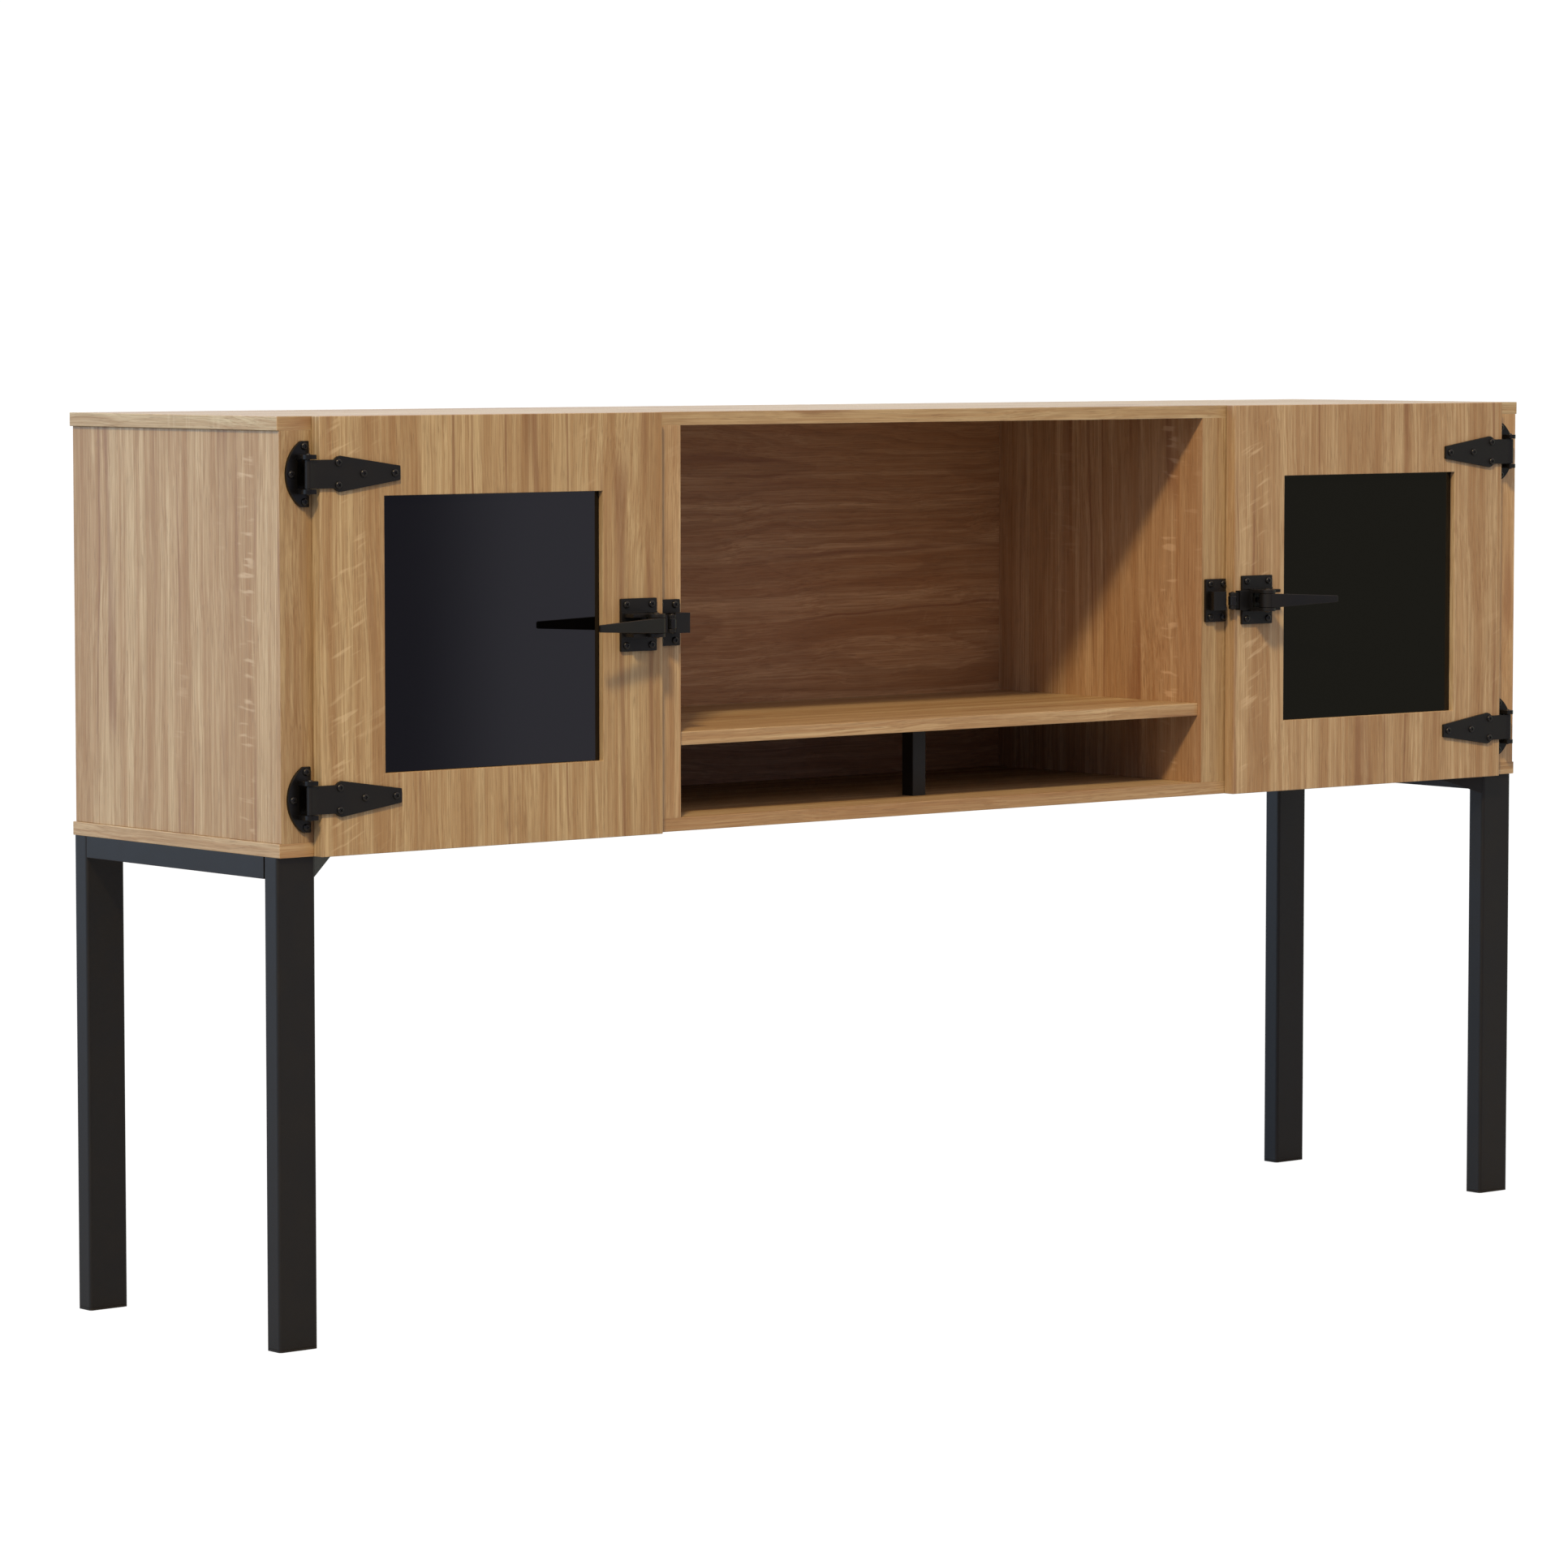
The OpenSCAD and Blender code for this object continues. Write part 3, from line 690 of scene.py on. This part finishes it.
# Millimetres, in the hinge's own drawing
HINGE_LEVELS = ("upper", "lower")
PLATE_WALL = 3.0
PLATE_ARC = 33.0
PLATE_OUTER = -15.6
PLATE_INNER = 8.0
PLATE_HALF = 28.2
RECESS_EDGE = -4.0
RECESS_DEPTH = 2.0
KNUCKLE_HALF = 12.2
LUG_START = 12.7
LUG_HEIGHT = 4.0
LUG_R = 5.5
BARREL_R = 3.3
BARREL_BORE = 1.55
PIN_R = 1.5
STRAP_WALL = 2.6
STRAP_END = 95.0
STRAP_JOIN = 6.0
HINGE_PIN_HEAD = (2.2, 1.2)
PLATE_SCREWS = ((3.0, 23.6), (-10.6, 0.0), (3.0, -23.6))
STRAP_SCREWS = ((29.5, 9.6), (29.5, -9.6), (55.8, 0.0), (88.8, 0.0))


def half_moon(notched):
    """Outline of the hinge plate, with or without the notch between its lugs."""
    centre = PLATE_OUTER + PLATE_ARC
    tilt = math.degrees(math.asin(PLATE_HALF / PLATE_ARC))
    outline = [(PLATE_INNER, PLATE_HALF)]
    outline += arc(centre, 0, PLATE_ARC, 180 - tilt, 180 + tilt, 40)
    outline += [(PLATE_INNER, -PLATE_HALF)]
    if notched:
        outline += [
            (PLATE_INNER, -KNUCKLE_HALF), (RECESS_EDGE, -KNUCKLE_HALF),
            (RECESS_EDGE, KNUCKLE_HALF), (PLATE_INNER, KNUCKLE_HALF),
        ]
    return outline


def hinge_plate():
    """Half-moon plate with a bevelled rim, a notch for the knuckle and two lugs."""
    floor = RECESS_DEPTH - PLATE_WALL
    lug = [(-LUG_R, floor), (-LUG_R, PIN_Y)]
    lug += arc(0, PIN_Y, LUG_R, 180, 270, 12)
    lug += rounded([(0, PIN_Y - LUG_R), (LUG_R, PIN_Y - LUG_R), (LUG_R, floor)], 1.4)[5:10]
    lug += [(LUG_R, floor)]
    solids = [
        plate(half_moon(False), floor, 0.0, 0.0),
        plate(half_moon(True), -PLATE_WALL, floor, 0.85),
    ]
    for lowest in (LUG_START, -LUG_START - LUG_HEIGHT):
        solids.append(prism(lug, lowest, lowest + LUG_HEIGHT, "z", 0.55))
    return solids


def hinge_strap():
    """Tapered strap whose neck is rolled round the pin."""
    front = DOOR_FRONT - STRAP_WALL
    k = KNUCKLE_HALF
    flat = [(STRAP_JOIN, -k), (STRAP_JOIN, k)]
    flat += rounded([
        (20.0, k), (25.5, k), (28.5, 14.5), (31.5, 15.5), (STRAP_END, 6.2),
        (STRAP_END, -6.2), (31.5, -15.5), (28.5, -14.5), (25.5, -k), (20.0, -k),
    ], 0.9)[5:-5]
    roll = [(STRAP_JOIN, DOOR_FRONT), (STRAP_JOIN, front), (3.5, front - 0.12)]
    roll += arc(0, PIN_Y, BARREL_R, 282, 12, 36)
    roll += arc(0, PIN_Y, BARREL_BORE, 12, 290, 28)
    roll += [(3.6, DOOR_FRONT)]

    def kept_sharp(p):
        """Whether a rim lies on the door or where the strap meets its neck."""
        return p.y > DOOR_FRONT - TOUCH or p.x < STRAP_JOIN + TOUCH

    return [prism(flat, front, DOOR_FRONT, "y", 0.5, kept_sharp), prism(roll, -k, k, "z")]


def make_hinges():
    """Plates, straps and pins of all four hinges."""
    pins = []
    for side in SIDES:
        for level in HINGE_LEVELS:
            at = hinge_place(side, level)
            node = f"hinge_plate_{level}_{side}"
            piece(node, "carcass", PLATE_STEEL, put(at, hinge_plate()))
            node = f"hinge_strap_{level}_{side}"
            piece(node, f"door_{side}", STEEL, put(at, hinge_strap()))
            pins += put(at, [rivet(0, PIN_Y, LUG_START + LUG_HEIGHT, PIN_R, *HINGE_PIN_HEAD)])
    piece("hinge_pins", "carcass", SCREW_STEEL, pins)


# ---------- latches ----------

# Millimetres, in the latch's own drawing
LATCH_WALL = 2.6
LATCH_BAND = 0.8
LATCH_START = -49.0
LATCH_END = -8.6
LATCH_HALF = 23.5
BAND_HALF = 11.8
LATCH_SCREWS = [(x, z) for x in (-43.2, -14.7) for z in (-18.1, 18.1)]
# The guide for the bolt, and the two ribs beside it
GUIDE_START = -19.0
GUIDE_LENGTH = 17.2
GUIDE_HALF = 9.35
GUIDE_WALL = 1.2
GUIDE_FRONT = -6.6
GUIDE_REAR = -3.5
GUIDE_SIDES = (8.1, -9.3)
GUIDE_SIDE_FRONT = -6.0
GUIDE_SIDE_DEPTH = 3.2
RIB_STARTS = (-20.5, -17.3)
RIB_WIDTH = 1.9
RIB_FRONT = -8.6
RIB_HALF = 10.9
# The lever and the lugs that carry it
PIVOT = (-24.0, -21.2)
PIVOT_R = 8.0
LUG_IN = 7.0
LUG_OUT = 10.2
LEVER_HALF = 6.7
LEVER_HEEL = 2.0
LEVER_FULL = 4.0
LEVER_STATIONS = (-LEVER_HEEL, 3.0, 4.5, 12.0, 30.0, 55.0)
LEVER_TIP = (-102.0, -40.2)
LEVER_TIP_HALF = 3.2
LEVER_TIP_WALL = 3.0
LEVER_TIP_ROUND = 0.5
LEVER_BORE = 1.85
LEVER_PIN = (1.8, 3.0, 1.3)
FINGER_START = 4.0
FINGER_LENGTH = 8.7
FINGER_HALF_X = 1.8
FINGER_HALF_Z = 2.5
# The bolt: its front and back faces, and its parts from the tail to the nose
BOLT_FACES = (-5.2, -3.6)
TAIL_START = -30.0
TAIL_HALF = 6.5
CATCH_START = -28.8
CATCH_WALL = 2.6
CATCH_HALF = 2.5
CATCH_FRONT = -11.0
CATCH_ROOT = 0.4
TONGUE_START = -9.5
TONGUE_LENGTH = 11.4
TONGUE_HALF = 7.9
FORK_R = 3.8
FORK_ARC = (215, 495)
ROLLER = (6.6, -4.7)
ROLLER_R = 4.2
ROLLER_HALF = 4.7
ROLLER_BORE = 1.5
ROLLER_PLAY = 0.2
BOLT_PIN = (1.45, 2.0, 0.9)
# The keeper, in a drawing of its own
KEEPER_PLAY = 1.4
KEEPER_WIDTH = 26.5
KEEPER_HALF = 20.7
KEEPER_SCREWS = [(x, z) for x in (3.8, 20.6) for z in (-16.0, 16.0)]
CAGE_HALF = 9.0
CAGE_FRONT = -15.6
CAGE_INNER = -13.4
CAGE_START = 11.0
CHEEK_STARTS = (-8.9, 6.9)
CHEEK_WALL = 2.0


def latch_base():
    """Plate with a raised band, two lugs for the lever and a guide for the bolt."""
    lug = [(-46.4, -LATCH_WALL), (-46.4, -16.7), (-31.2, -16.7)]
    lug += arc(*PIVOT, PIVOT_R, 146, 360, 26)
    lug += [(-16.0, -LATCH_WALL)]
    outline = rounded(rectangle(LATCH_START, LATCH_END, -LATCH_HALF, LATCH_HALF), 1.2, 3)
    band = rectangle(LATCH_START, LATCH_END, -BAND_HALF, BAND_HALF)
    guide = 2 * GUIDE_HALF
    solids = [
        plate(outline, -LATCH_WALL, 0.0, 0.5),
        plate(band, -LATCH_WALL - LATCH_BAND, -LATCH_WALL, 0.35),
        block((GUIDE_START, GUIDE_FRONT, -GUIDE_HALF), (GUIDE_LENGTH, GUIDE_WALL, guide), 0.45),
        block((GUIDE_START, GUIDE_REAR, -GUIDE_HALF), (GUIDE_LENGTH, -GUIDE_REAR, guide), 0.3),
    ]
    for lowest in GUIDE_SIDES:
        size = (GUIDE_LENGTH - 0.2, GUIDE_SIDE_DEPTH, GUIDE_WALL)
        solids.append(block((GUIDE_START + 0.1, GUIDE_SIDE_FRONT, lowest), size, 0.0))
    for lowest in (LUG_IN, -LUG_OUT):
        solids.append(prism(lug, lowest, lowest + LUG_OUT - LUG_IN, "z", 0.5))
    for x in RIB_STARTS:
        size = (RIB_WIDTH, -LATCH_WALL - RIB_FRONT, 2 * RIB_HALF)
        solids.append(block((x, RIB_FRONT, -RIB_HALF), size, 0.45))
    return solids


def latch_lever():
    """Long tapered handle on a barrel, with a short finger that draws the bolt."""
    x, y = PIVOT
    front = y - PIVOT_R
    reach = x - LEVER_TIP[0]
    stations = []
    for back in (*LEVER_STATIONS, reach - 1.2, reach):
        share = (back + LEVER_HEEL) / (reach + LEVER_HEEL)
        narrowing = max(0.0, (back - LEVER_FULL) / (reach - LEVER_FULL))
        half = LEVER_HALF + (LEVER_TIP_HALF - LEVER_HALF) * narrowing
        face = front + (LEVER_TIP[1] - front) * share
        inner = y - 2.0 + (LEVER_TIP[1] + LEVER_TIP_WALL - y + 2.0) * share
        round_off = LEVER_TIP_ROUND if back == reach else 0.0
        stations.append((x - back, face + round_off, inner - round_off, half - round_off))
    finger = (x - FINGER_HALF_X, y + FINGER_START, -FINGER_HALF_Z)
    return [
        bar(stations, 0.7),
        tube(x, y, -LEVER_HALF, LEVER_HALF, PIVOT_R, LEVER_BORE, 0.4, 56),
        block(finger, (2 * FINGER_HALF_X, FINGER_LENGTH, 2 * FINGER_HALF_Z), 0.4),
    ]


def latch_bolt():
    """Tail with a catch for the finger, a tongue and a forked nose."""
    front, back = BOLT_FACES
    wall = back - front
    catch = front + CATCH_ROOT - CATCH_FRONT
    solids = [
        block((TAIL_START, front, -TAIL_HALF), (TONGUE_START - TAIL_START, wall, 2 * TAIL_HALF), 0.3),
        block((TONGUE_START, front, -TONGUE_HALF), (TONGUE_LENGTH, wall, 2 * TONGUE_HALF), 0.3),
        block((CATCH_START, CATCH_FRONT, -CATCH_HALF), (CATCH_WALL, catch, 2 * CATCH_HALF), 0.4),
    ]
    height = TONGUE_HALF - ROLLER_HALF - ROLLER_PLAY
    cheek = [(2.5, back + 0.6), (2.5, -6.2), (3.0, -6.6)]
    cheek += arc(*ROLLER, FORK_R, *FORK_ARC, 28)
    for lowest in (ROLLER_HALF + ROLLER_PLAY, -TONGUE_HALF):
        solids.append(prism(cheek, lowest, lowest + height, "z", 0.35))
        solids.append(block((1.0, front, lowest + 0.1), (5.0, wall, height - 0.2), 0.2))
    return solids


def latch_keeper():
    """Plate with a bent cage, open towards the door."""
    outline = rounded(rectangle(0.0, KEEPER_WIDTH, -KEEPER_HALF, KEEPER_HALF), 1.2, 3)
    cage = rounded([
        (CAGE_START, CAGE_FRONT), (28.4, CAGE_FRONT), (22.5, -PLATE_WALL),
        (19.0, -PLATE_WALL), (25.2, CAGE_INNER), (CAGE_START, CAGE_INNER),
    ], 1.0, 3)
    cheek = [(11.2, -15.2), (27.6, -15.2), (22.3, -PLATE_WALL), (13.0, -PLATE_WALL)]
    solids = [plate(outline, -PLATE_WALL, 0.0, 0.5), prism(cage, -CAGE_HALF, CAGE_HALF, "z", 0.45)]
    for lowest in CHEEK_STARTS:
        solids.append(prism(cheek, lowest, lowest + CHEEK_WALL, "z", 0.2))
    return solids


def make_latches():
    """Base, lever, bolt, roller, their pins and the keeper, at each side."""
    for side in SIDES:
        at = latch_place(side)
        roller = tube(*ROLLER, -ROLLER_HALF, ROLLER_HALF, ROLLER_R, ROLLER_BORE, 0.5)
        parts = {
            "latch_base": ("door", STEEL, at, latch_base()),
            "lever_pin": ("door", SCREW_STEEL, at, [rivet(*PIVOT, LUG_OUT, *LEVER_PIN)]),
            "latch_lever": ("lever", STEEL, at, latch_lever()),
            "latch_bolt": ("bolt", STEEL, at, latch_bolt()),
            "bolt_pin": ("bolt", SCREW_STEEL, at, [rivet(*ROLLER, TONGUE_HALF, *BOLT_PIN)]),
            "latch_roller": ("roller", SCREW_STEEL, at, [roller]),
            "latch_keeper": ("carcass", STEEL, keeper_place(side), latch_keeper()),
        }
        for kind, (body, material, place, solids) in parts.items():
            body = body if body == "carcass" else f"{body}_{side}"
            piece(f"{kind}_{side}", body, material, put(place, solids))


# ---------- screws, glass strips and cams ----------

# Drawings in millimetres that use the row frame's own axes
WHOLE = Matrix.Scale(MM, 4)
# Metres
BACK_SCREW_INSET = 0.040
RAIL_SCREW_INSET = 0.012
CAM_INSET = 0.024
CAM_DEPTHS = (0.105, 0.195)
# Millimetres
BACK_SCREW_LENGTH = 26.0
RAIL_SCREW_LENGTH = 11.0
RAIL_WALL = 3.0
BEAD_WIDTH = 14.0
CAM_R = 6.0
CAM_HEIGHT = 1.1
CAM_SUNK = 0.9
CAM_BODY = ((5.6, 0.0), (5.6, -7.4), (4.6, -8.0))
CAM_TURN = 0.6


def make_screws():
    """Every screw: a domed head with a cross recess on a pointed shank."""
    on_carcass = []
    for side in SIDES:
        on_door = put(latch_place(side), screws_at([(x, -LATCH_WALL, z) for x, z in LATCH_SCREWS]))
        on_carcass += put(keeper_place(side), screws_at([(x, -PLATE_WALL, z) for x, z in KEEPER_SCREWS]))
        for level in HINGE_LEVELS:
            at = hinge_place(side, level)
            on_carcass += put(at, screws_at([(x, -PLATE_WALL, z) for x, z in PLATE_SCREWS]))
            on_door += put(at, screws_at([(x, DOOR_FRONT - STRAP_WALL, z) for x, z in STRAP_SCREWS]))
        piece(f"door_screws_{side}", f"door_{side}", SCREW_STEEL, on_door)
    piece("carcass_screws", "carcass", SCREW_STEEL, on_carcass)

    rear = []
    under = []
    for side in SIDES:
        divider = f"divider_{side}"
        lowest, highest = low(divider).z + BACK_SCREW_INSET, high(divider).z - BACK_SCREW_INSET
        levels = (lowest, middle(divider).z, highest)
        spots = [(middle(divider).x / MM, high("back_panel").y / MM, z / MM) for z in levels]
        rear += put(WHOLE, screws_at(spots, BACKWARDS, BACK_SCREW_LENGTH))
        rail = f"side_rail_{side}"
        x = low(rail).x + RAIL_SCREW_INSET if side == "left" else high(rail).x - RAIL_SCREW_INSET
        depths = [low(rail).y + (high(rail).y - low(rail).y) * share for share in (1 / 6, 1 / 2, 5 / 6)]
        spots = [(x / MM, y / MM, high(rail).z / MM - RAIL_WALL) for y in depths]
        under += put(WHOLE, screws_at(spots, DOWNWARDS, RAIL_SCREW_LENGTH))
    piece("back_screws", "carcass", ZINC, rear)
    piece("frame_screws", "carcass", SCREW_STEEL, under)


def make_glass_strips():
    """Four mitred strips behind each pane."""
    for side in SIDES:
        node = f"glass_beads_{side}"
        start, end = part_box(node)
        x0, x1, z0, z1 = (v / MM for v in (start.x, end.x, start.z, end.z))
        outer = rectangle(x0, x1, z0, z1)
        inner = rectangle(x0 + BEAD_WIDTH, x1 - BEAD_WIDTH, z0 + BEAD_WIDTH, z1 - BEAD_WIDTH)
        solids = []
        for i in range(4):
            k = (i + 1) % 4
            outline = [outer[i], outer[k], inner[k], inner[i]]
            solids.append(prism(outline, start.y / MM, end.y / MM, "y", 0.3))
        piece(node, f"door_{side}", PLASTIC, put(WHOLE, solids))


def make_cams():
    """Turned cams in the hidden faces of the side panels and the dividers."""
    solids = []
    for side in SIDES:
        panel = f"side_panel_{side}"
        divider = f"divider_{side}"
        faces = ((high(panel).x, 1), (low(divider).x, -1))
        if side == "right":
            faces = ((low(panel).x, -1), (high(divider).x, 1))
        for x, facing in faces:
            turn = Matrix.Rotation(math.radians(90 * facing), 4, "Y")
            turn = turn @ Matrix.Translation((0, 0, -CAM_SUNK))
            for y in CAM_DEPTHS:
                for z in (low(panel).z + CAM_INSET, high(panel).z - CAM_INSET):
                    at = Matrix.Translation((x, CARCASS_FRONT + y, z)) @ WHOLE
                    head = screw_head(turn, CAM_TURN, CAM_R, CAM_HEIGHT)
                    solids += put(at, [head, turned(CAM_BODY, 24, turn)])
    piece("cam_locks", "carcass", ZINC, solids)


# ---------- camera, light and floor ----------

CAMERA_AT = (-3.7132, -4.3070, 0.8756)
CAMERA_YAW = 0.6992
CAMERA_PITCH = 0.0758
CAMERA_LENS = 138.24
# The key light: its direction from the cabinet's middle, its distance and its size in metres
KEY_TOWARDS = (-1.05, -1.0, 1.35)
KEY_DISTANCE = 10.0
KEY_SIZE = 0.90
KEY_POWER = 690
KEY_COLOUR = (1.0, 0.708, 0.354)
# Reflected studio: azimuths from the cabinet's front towards its right end, in degrees
PANEL_EDGE = (36.45, 37.65)
PANEL_END = (42.8, 44.6)
RIGHT_EDGE = (58.0, 75.0)
# Rise over distance where the upper part begins, and the direction and edge of the bright part behind
SKY_EDGE = (0.17, 0.42)
BACK_LEFT = Vector((-0.42, 0.90, 0.12)).normalized()
BACK_EDGE = (-0.1, 0.75)
BACK = (0.89, 1.09, 1.38)
FRONT_COOL = (0.205, 0.200, 0.268)
FRONT_WARM = (0.205, 0.195, 0.150)
PANEL = (0.567, 0.556, 0.668)
RIGHT = (0.66, 0.74, 0.60)
SKY = (0.86, 0.69, 0.63)
# White that the camera sees past the cabinet, a little over 1 so that it stays white
BACKDROP = 1.05
FLOOR_REACH = 4.0
FLOOR_LEVEL = -0.0002
FLOOR_BOUNCE = 0.35
FLOOR_PAINT = 0.86
FLOOR_GLOW = 1.08
FLOOR_GLOW_SHARE = 0.92


def link(obj):
    """Adds an object to the scene."""
    bpy.context.scene.collection.objects.link(obj)
    return obj


def make_camera():
    """Camera at the photograph's place: left of the cabinet and a little above its top."""
    camera = link(bpy.data.objects.new("camera", bpy.data.cameras.new("camera")))
    camera.location = CAMERA_AT
    camera.rotation_euler = (math.pi / 2 - CAMERA_PITCH, 0, -CAMERA_YAW)
    camera.data.lens = CAMERA_LENS
    camera.data.sensor_width = 36
    camera.data.clip_end = 100
    bpy.context.scene.camera = camera


def make_key():
    """Square soft light at the front left, high up, which faces the cabinet's middle."""
    aim = (Vector(cad_box[0]) + Vector(cad_box[1])) / 2
    light = link(bpy.data.objects.new("key", bpy.data.lights.new("key", "AREA")))
    light.data.size = KEY_SIZE
    light.data.energy = KEY_POWER
    light.data.color = KEY_COLOUR
    away = Vector(KEY_TOWARDS).normalized()
    light.location = aim + away * KEY_DISTANCE
    light.rotation_euler = away.to_track_quat("Z", "Y").to_euler()


def make_world():
    """White studio: bright behind the cabinet, dim in front of it, with a tall soft panel at the front right.

    Where the camera looks past the cabinet it is plain white."""
    world = bpy.data.worlds.new("studio")
    world.use_nodes = True
    bpy.context.scene.world = world
    s = Nodes(world.node_tree)
    s.tree.nodes.clear()

    way = s.add("ShaderNodeTexCoord").outputs["Generated"]
    facing = s.add("ShaderNodeVectorMath", way, BACK_LEFT, operation="DOT_PRODUCT").outputs["Value"]
    share = s.remap(facing, *BACK_EDGE)
    split = s.add("ShaderNodeSeparateXYZ", way)
    forward = s.math("MULTIPLY", split.outputs["Y"], -1.0)
    azimuth = s.math("ARCTAN2", split.outputs["X"], forward)
    degrees = s.math("MULTIPLY", azimuth, 180 / math.pi)
    panel = s.math("MULTIPLY", s.remap(degrees, *PANEL_EDGE), s.remap(degrees, *PANEL_END, 1.0, 0.0))

    front = s.blend(s.remap(degrees, *PANEL_END), FRONT_COOL, FRONT_WARM)
    front = s.blend(panel, front, PANEL)
    front = s.blend(s.remap(degrees, *RIGHT_EDGE), front, RIGHT)
    front = s.blend(s.remap(split.outputs["Z"], *SKY_EDGE), front, SKY)
    colour = s.blend(share, front, BACK)
    lighting = s.add("ShaderNodeBackground", colour, 1.0)
    shown = s.add("ShaderNodeBackground", (1, 1, 1, 1), BACKDROP)
    seen = s.add("ShaderNodeLightPath").outputs["Is Camera Ray"]
    both = s.add("ShaderNodeMixShader", seen, lighting.outputs[0], shown.outputs[0])
    s.add("ShaderNodeOutputWorld", both.outputs[0])


def make_floor():
    """Plain white floor, large enough to run out of the picture, with only a faint shadow on it."""
    bm = bmesh.new()
    reach = FLOOR_REACH
    corners = ((-reach, -reach), (reach, -reach), (reach, reach), (-reach, reach))
    bm.faces.new([bm.verts.new((x, y, FLOOR_LEVEL)) for x, y in corners])
    mesh = bpy.data.meshes.new("floor")
    bm.to_mesh(mesh)
    bm.free()
    s = Shader("floor")
    s.set(Base_Color=(FLOOR_BOUNCE, FLOOR_BOUNCE, FLOOR_BOUNCE, 1), Roughness=0.9, Specular_IOR_Level=0.0)
    paint = s.add("ShaderNodeBsdfDiffuse", (FLOOR_PAINT, FLOOR_PAINT, FLOOR_PAINT, 1))
    glow = s.add("ShaderNodeEmission", (1, 1, 1, 1), FLOOR_GLOW)
    plain = s.add("ShaderNodeMixShader", FLOOR_GLOW_SHARE, paint.outputs[0], glow.outputs[0])
    seen = s.add("ShaderNodeLightPath").outputs["Is Camera Ray"]
    both = s.add("ShaderNodeMixShader", seen, s.surface.outputs[0], plain.outputs[0])
    s.tree.links.new(both.outputs[0], s.tree.nodes["Material Output"].inputs["Surface"])
    mesh.materials.append(s.material)
    floor = link(bpy.data.objects.new("floor", mesh))


# ---------- assembly ----------

make_camera()
make_world()
make_key()
make_floor()
bpy.context.scene.view_settings.view_transform = "Standard"

STEEL = black_steel("black_steel")
LEG_STEEL = black_steel("leg_steel", 0.0055, 0.44, 700.0, 0.5)
SCREW_STEEL = black_steel("screw_steel", 0.0060, 0.28, 1400.0, 0.5)
# The hinge plates' knuckle recess, and all that lies behind it, gets painted shade, nearly black
PLATE_STEEL = black_steel("plate_steel", 0.0035, 0.30, gloss=0.40, shade_depth=CARCASS_FRONT - 0.0016)
PLASTIC = plastic("black_plastic", 0.008)
ZINC = zinc()
GLASS = dark_glass()

dress_wood()
for name, obj in frame["nodes"].items():
    if name.startswith(("leg_", "side_rail", "gussets", "shelf_post")):
        obj.material_slots[0].material = LEG_STEEL
        soften(obj, STEEL_ROUND)
for side in SIDES:
    frame["nodes"][f"door_glass_{side}"].material_slots[0].material = GLASS
frame["nodes"]["foot_caps"].material_slots[0].material = PLASTIC
frame["nodes"]["shelf_pins"].material_slots[0].material = ZINC
make_hinges()
make_latches()
make_screws()
make_glass_strips()
make_cams()
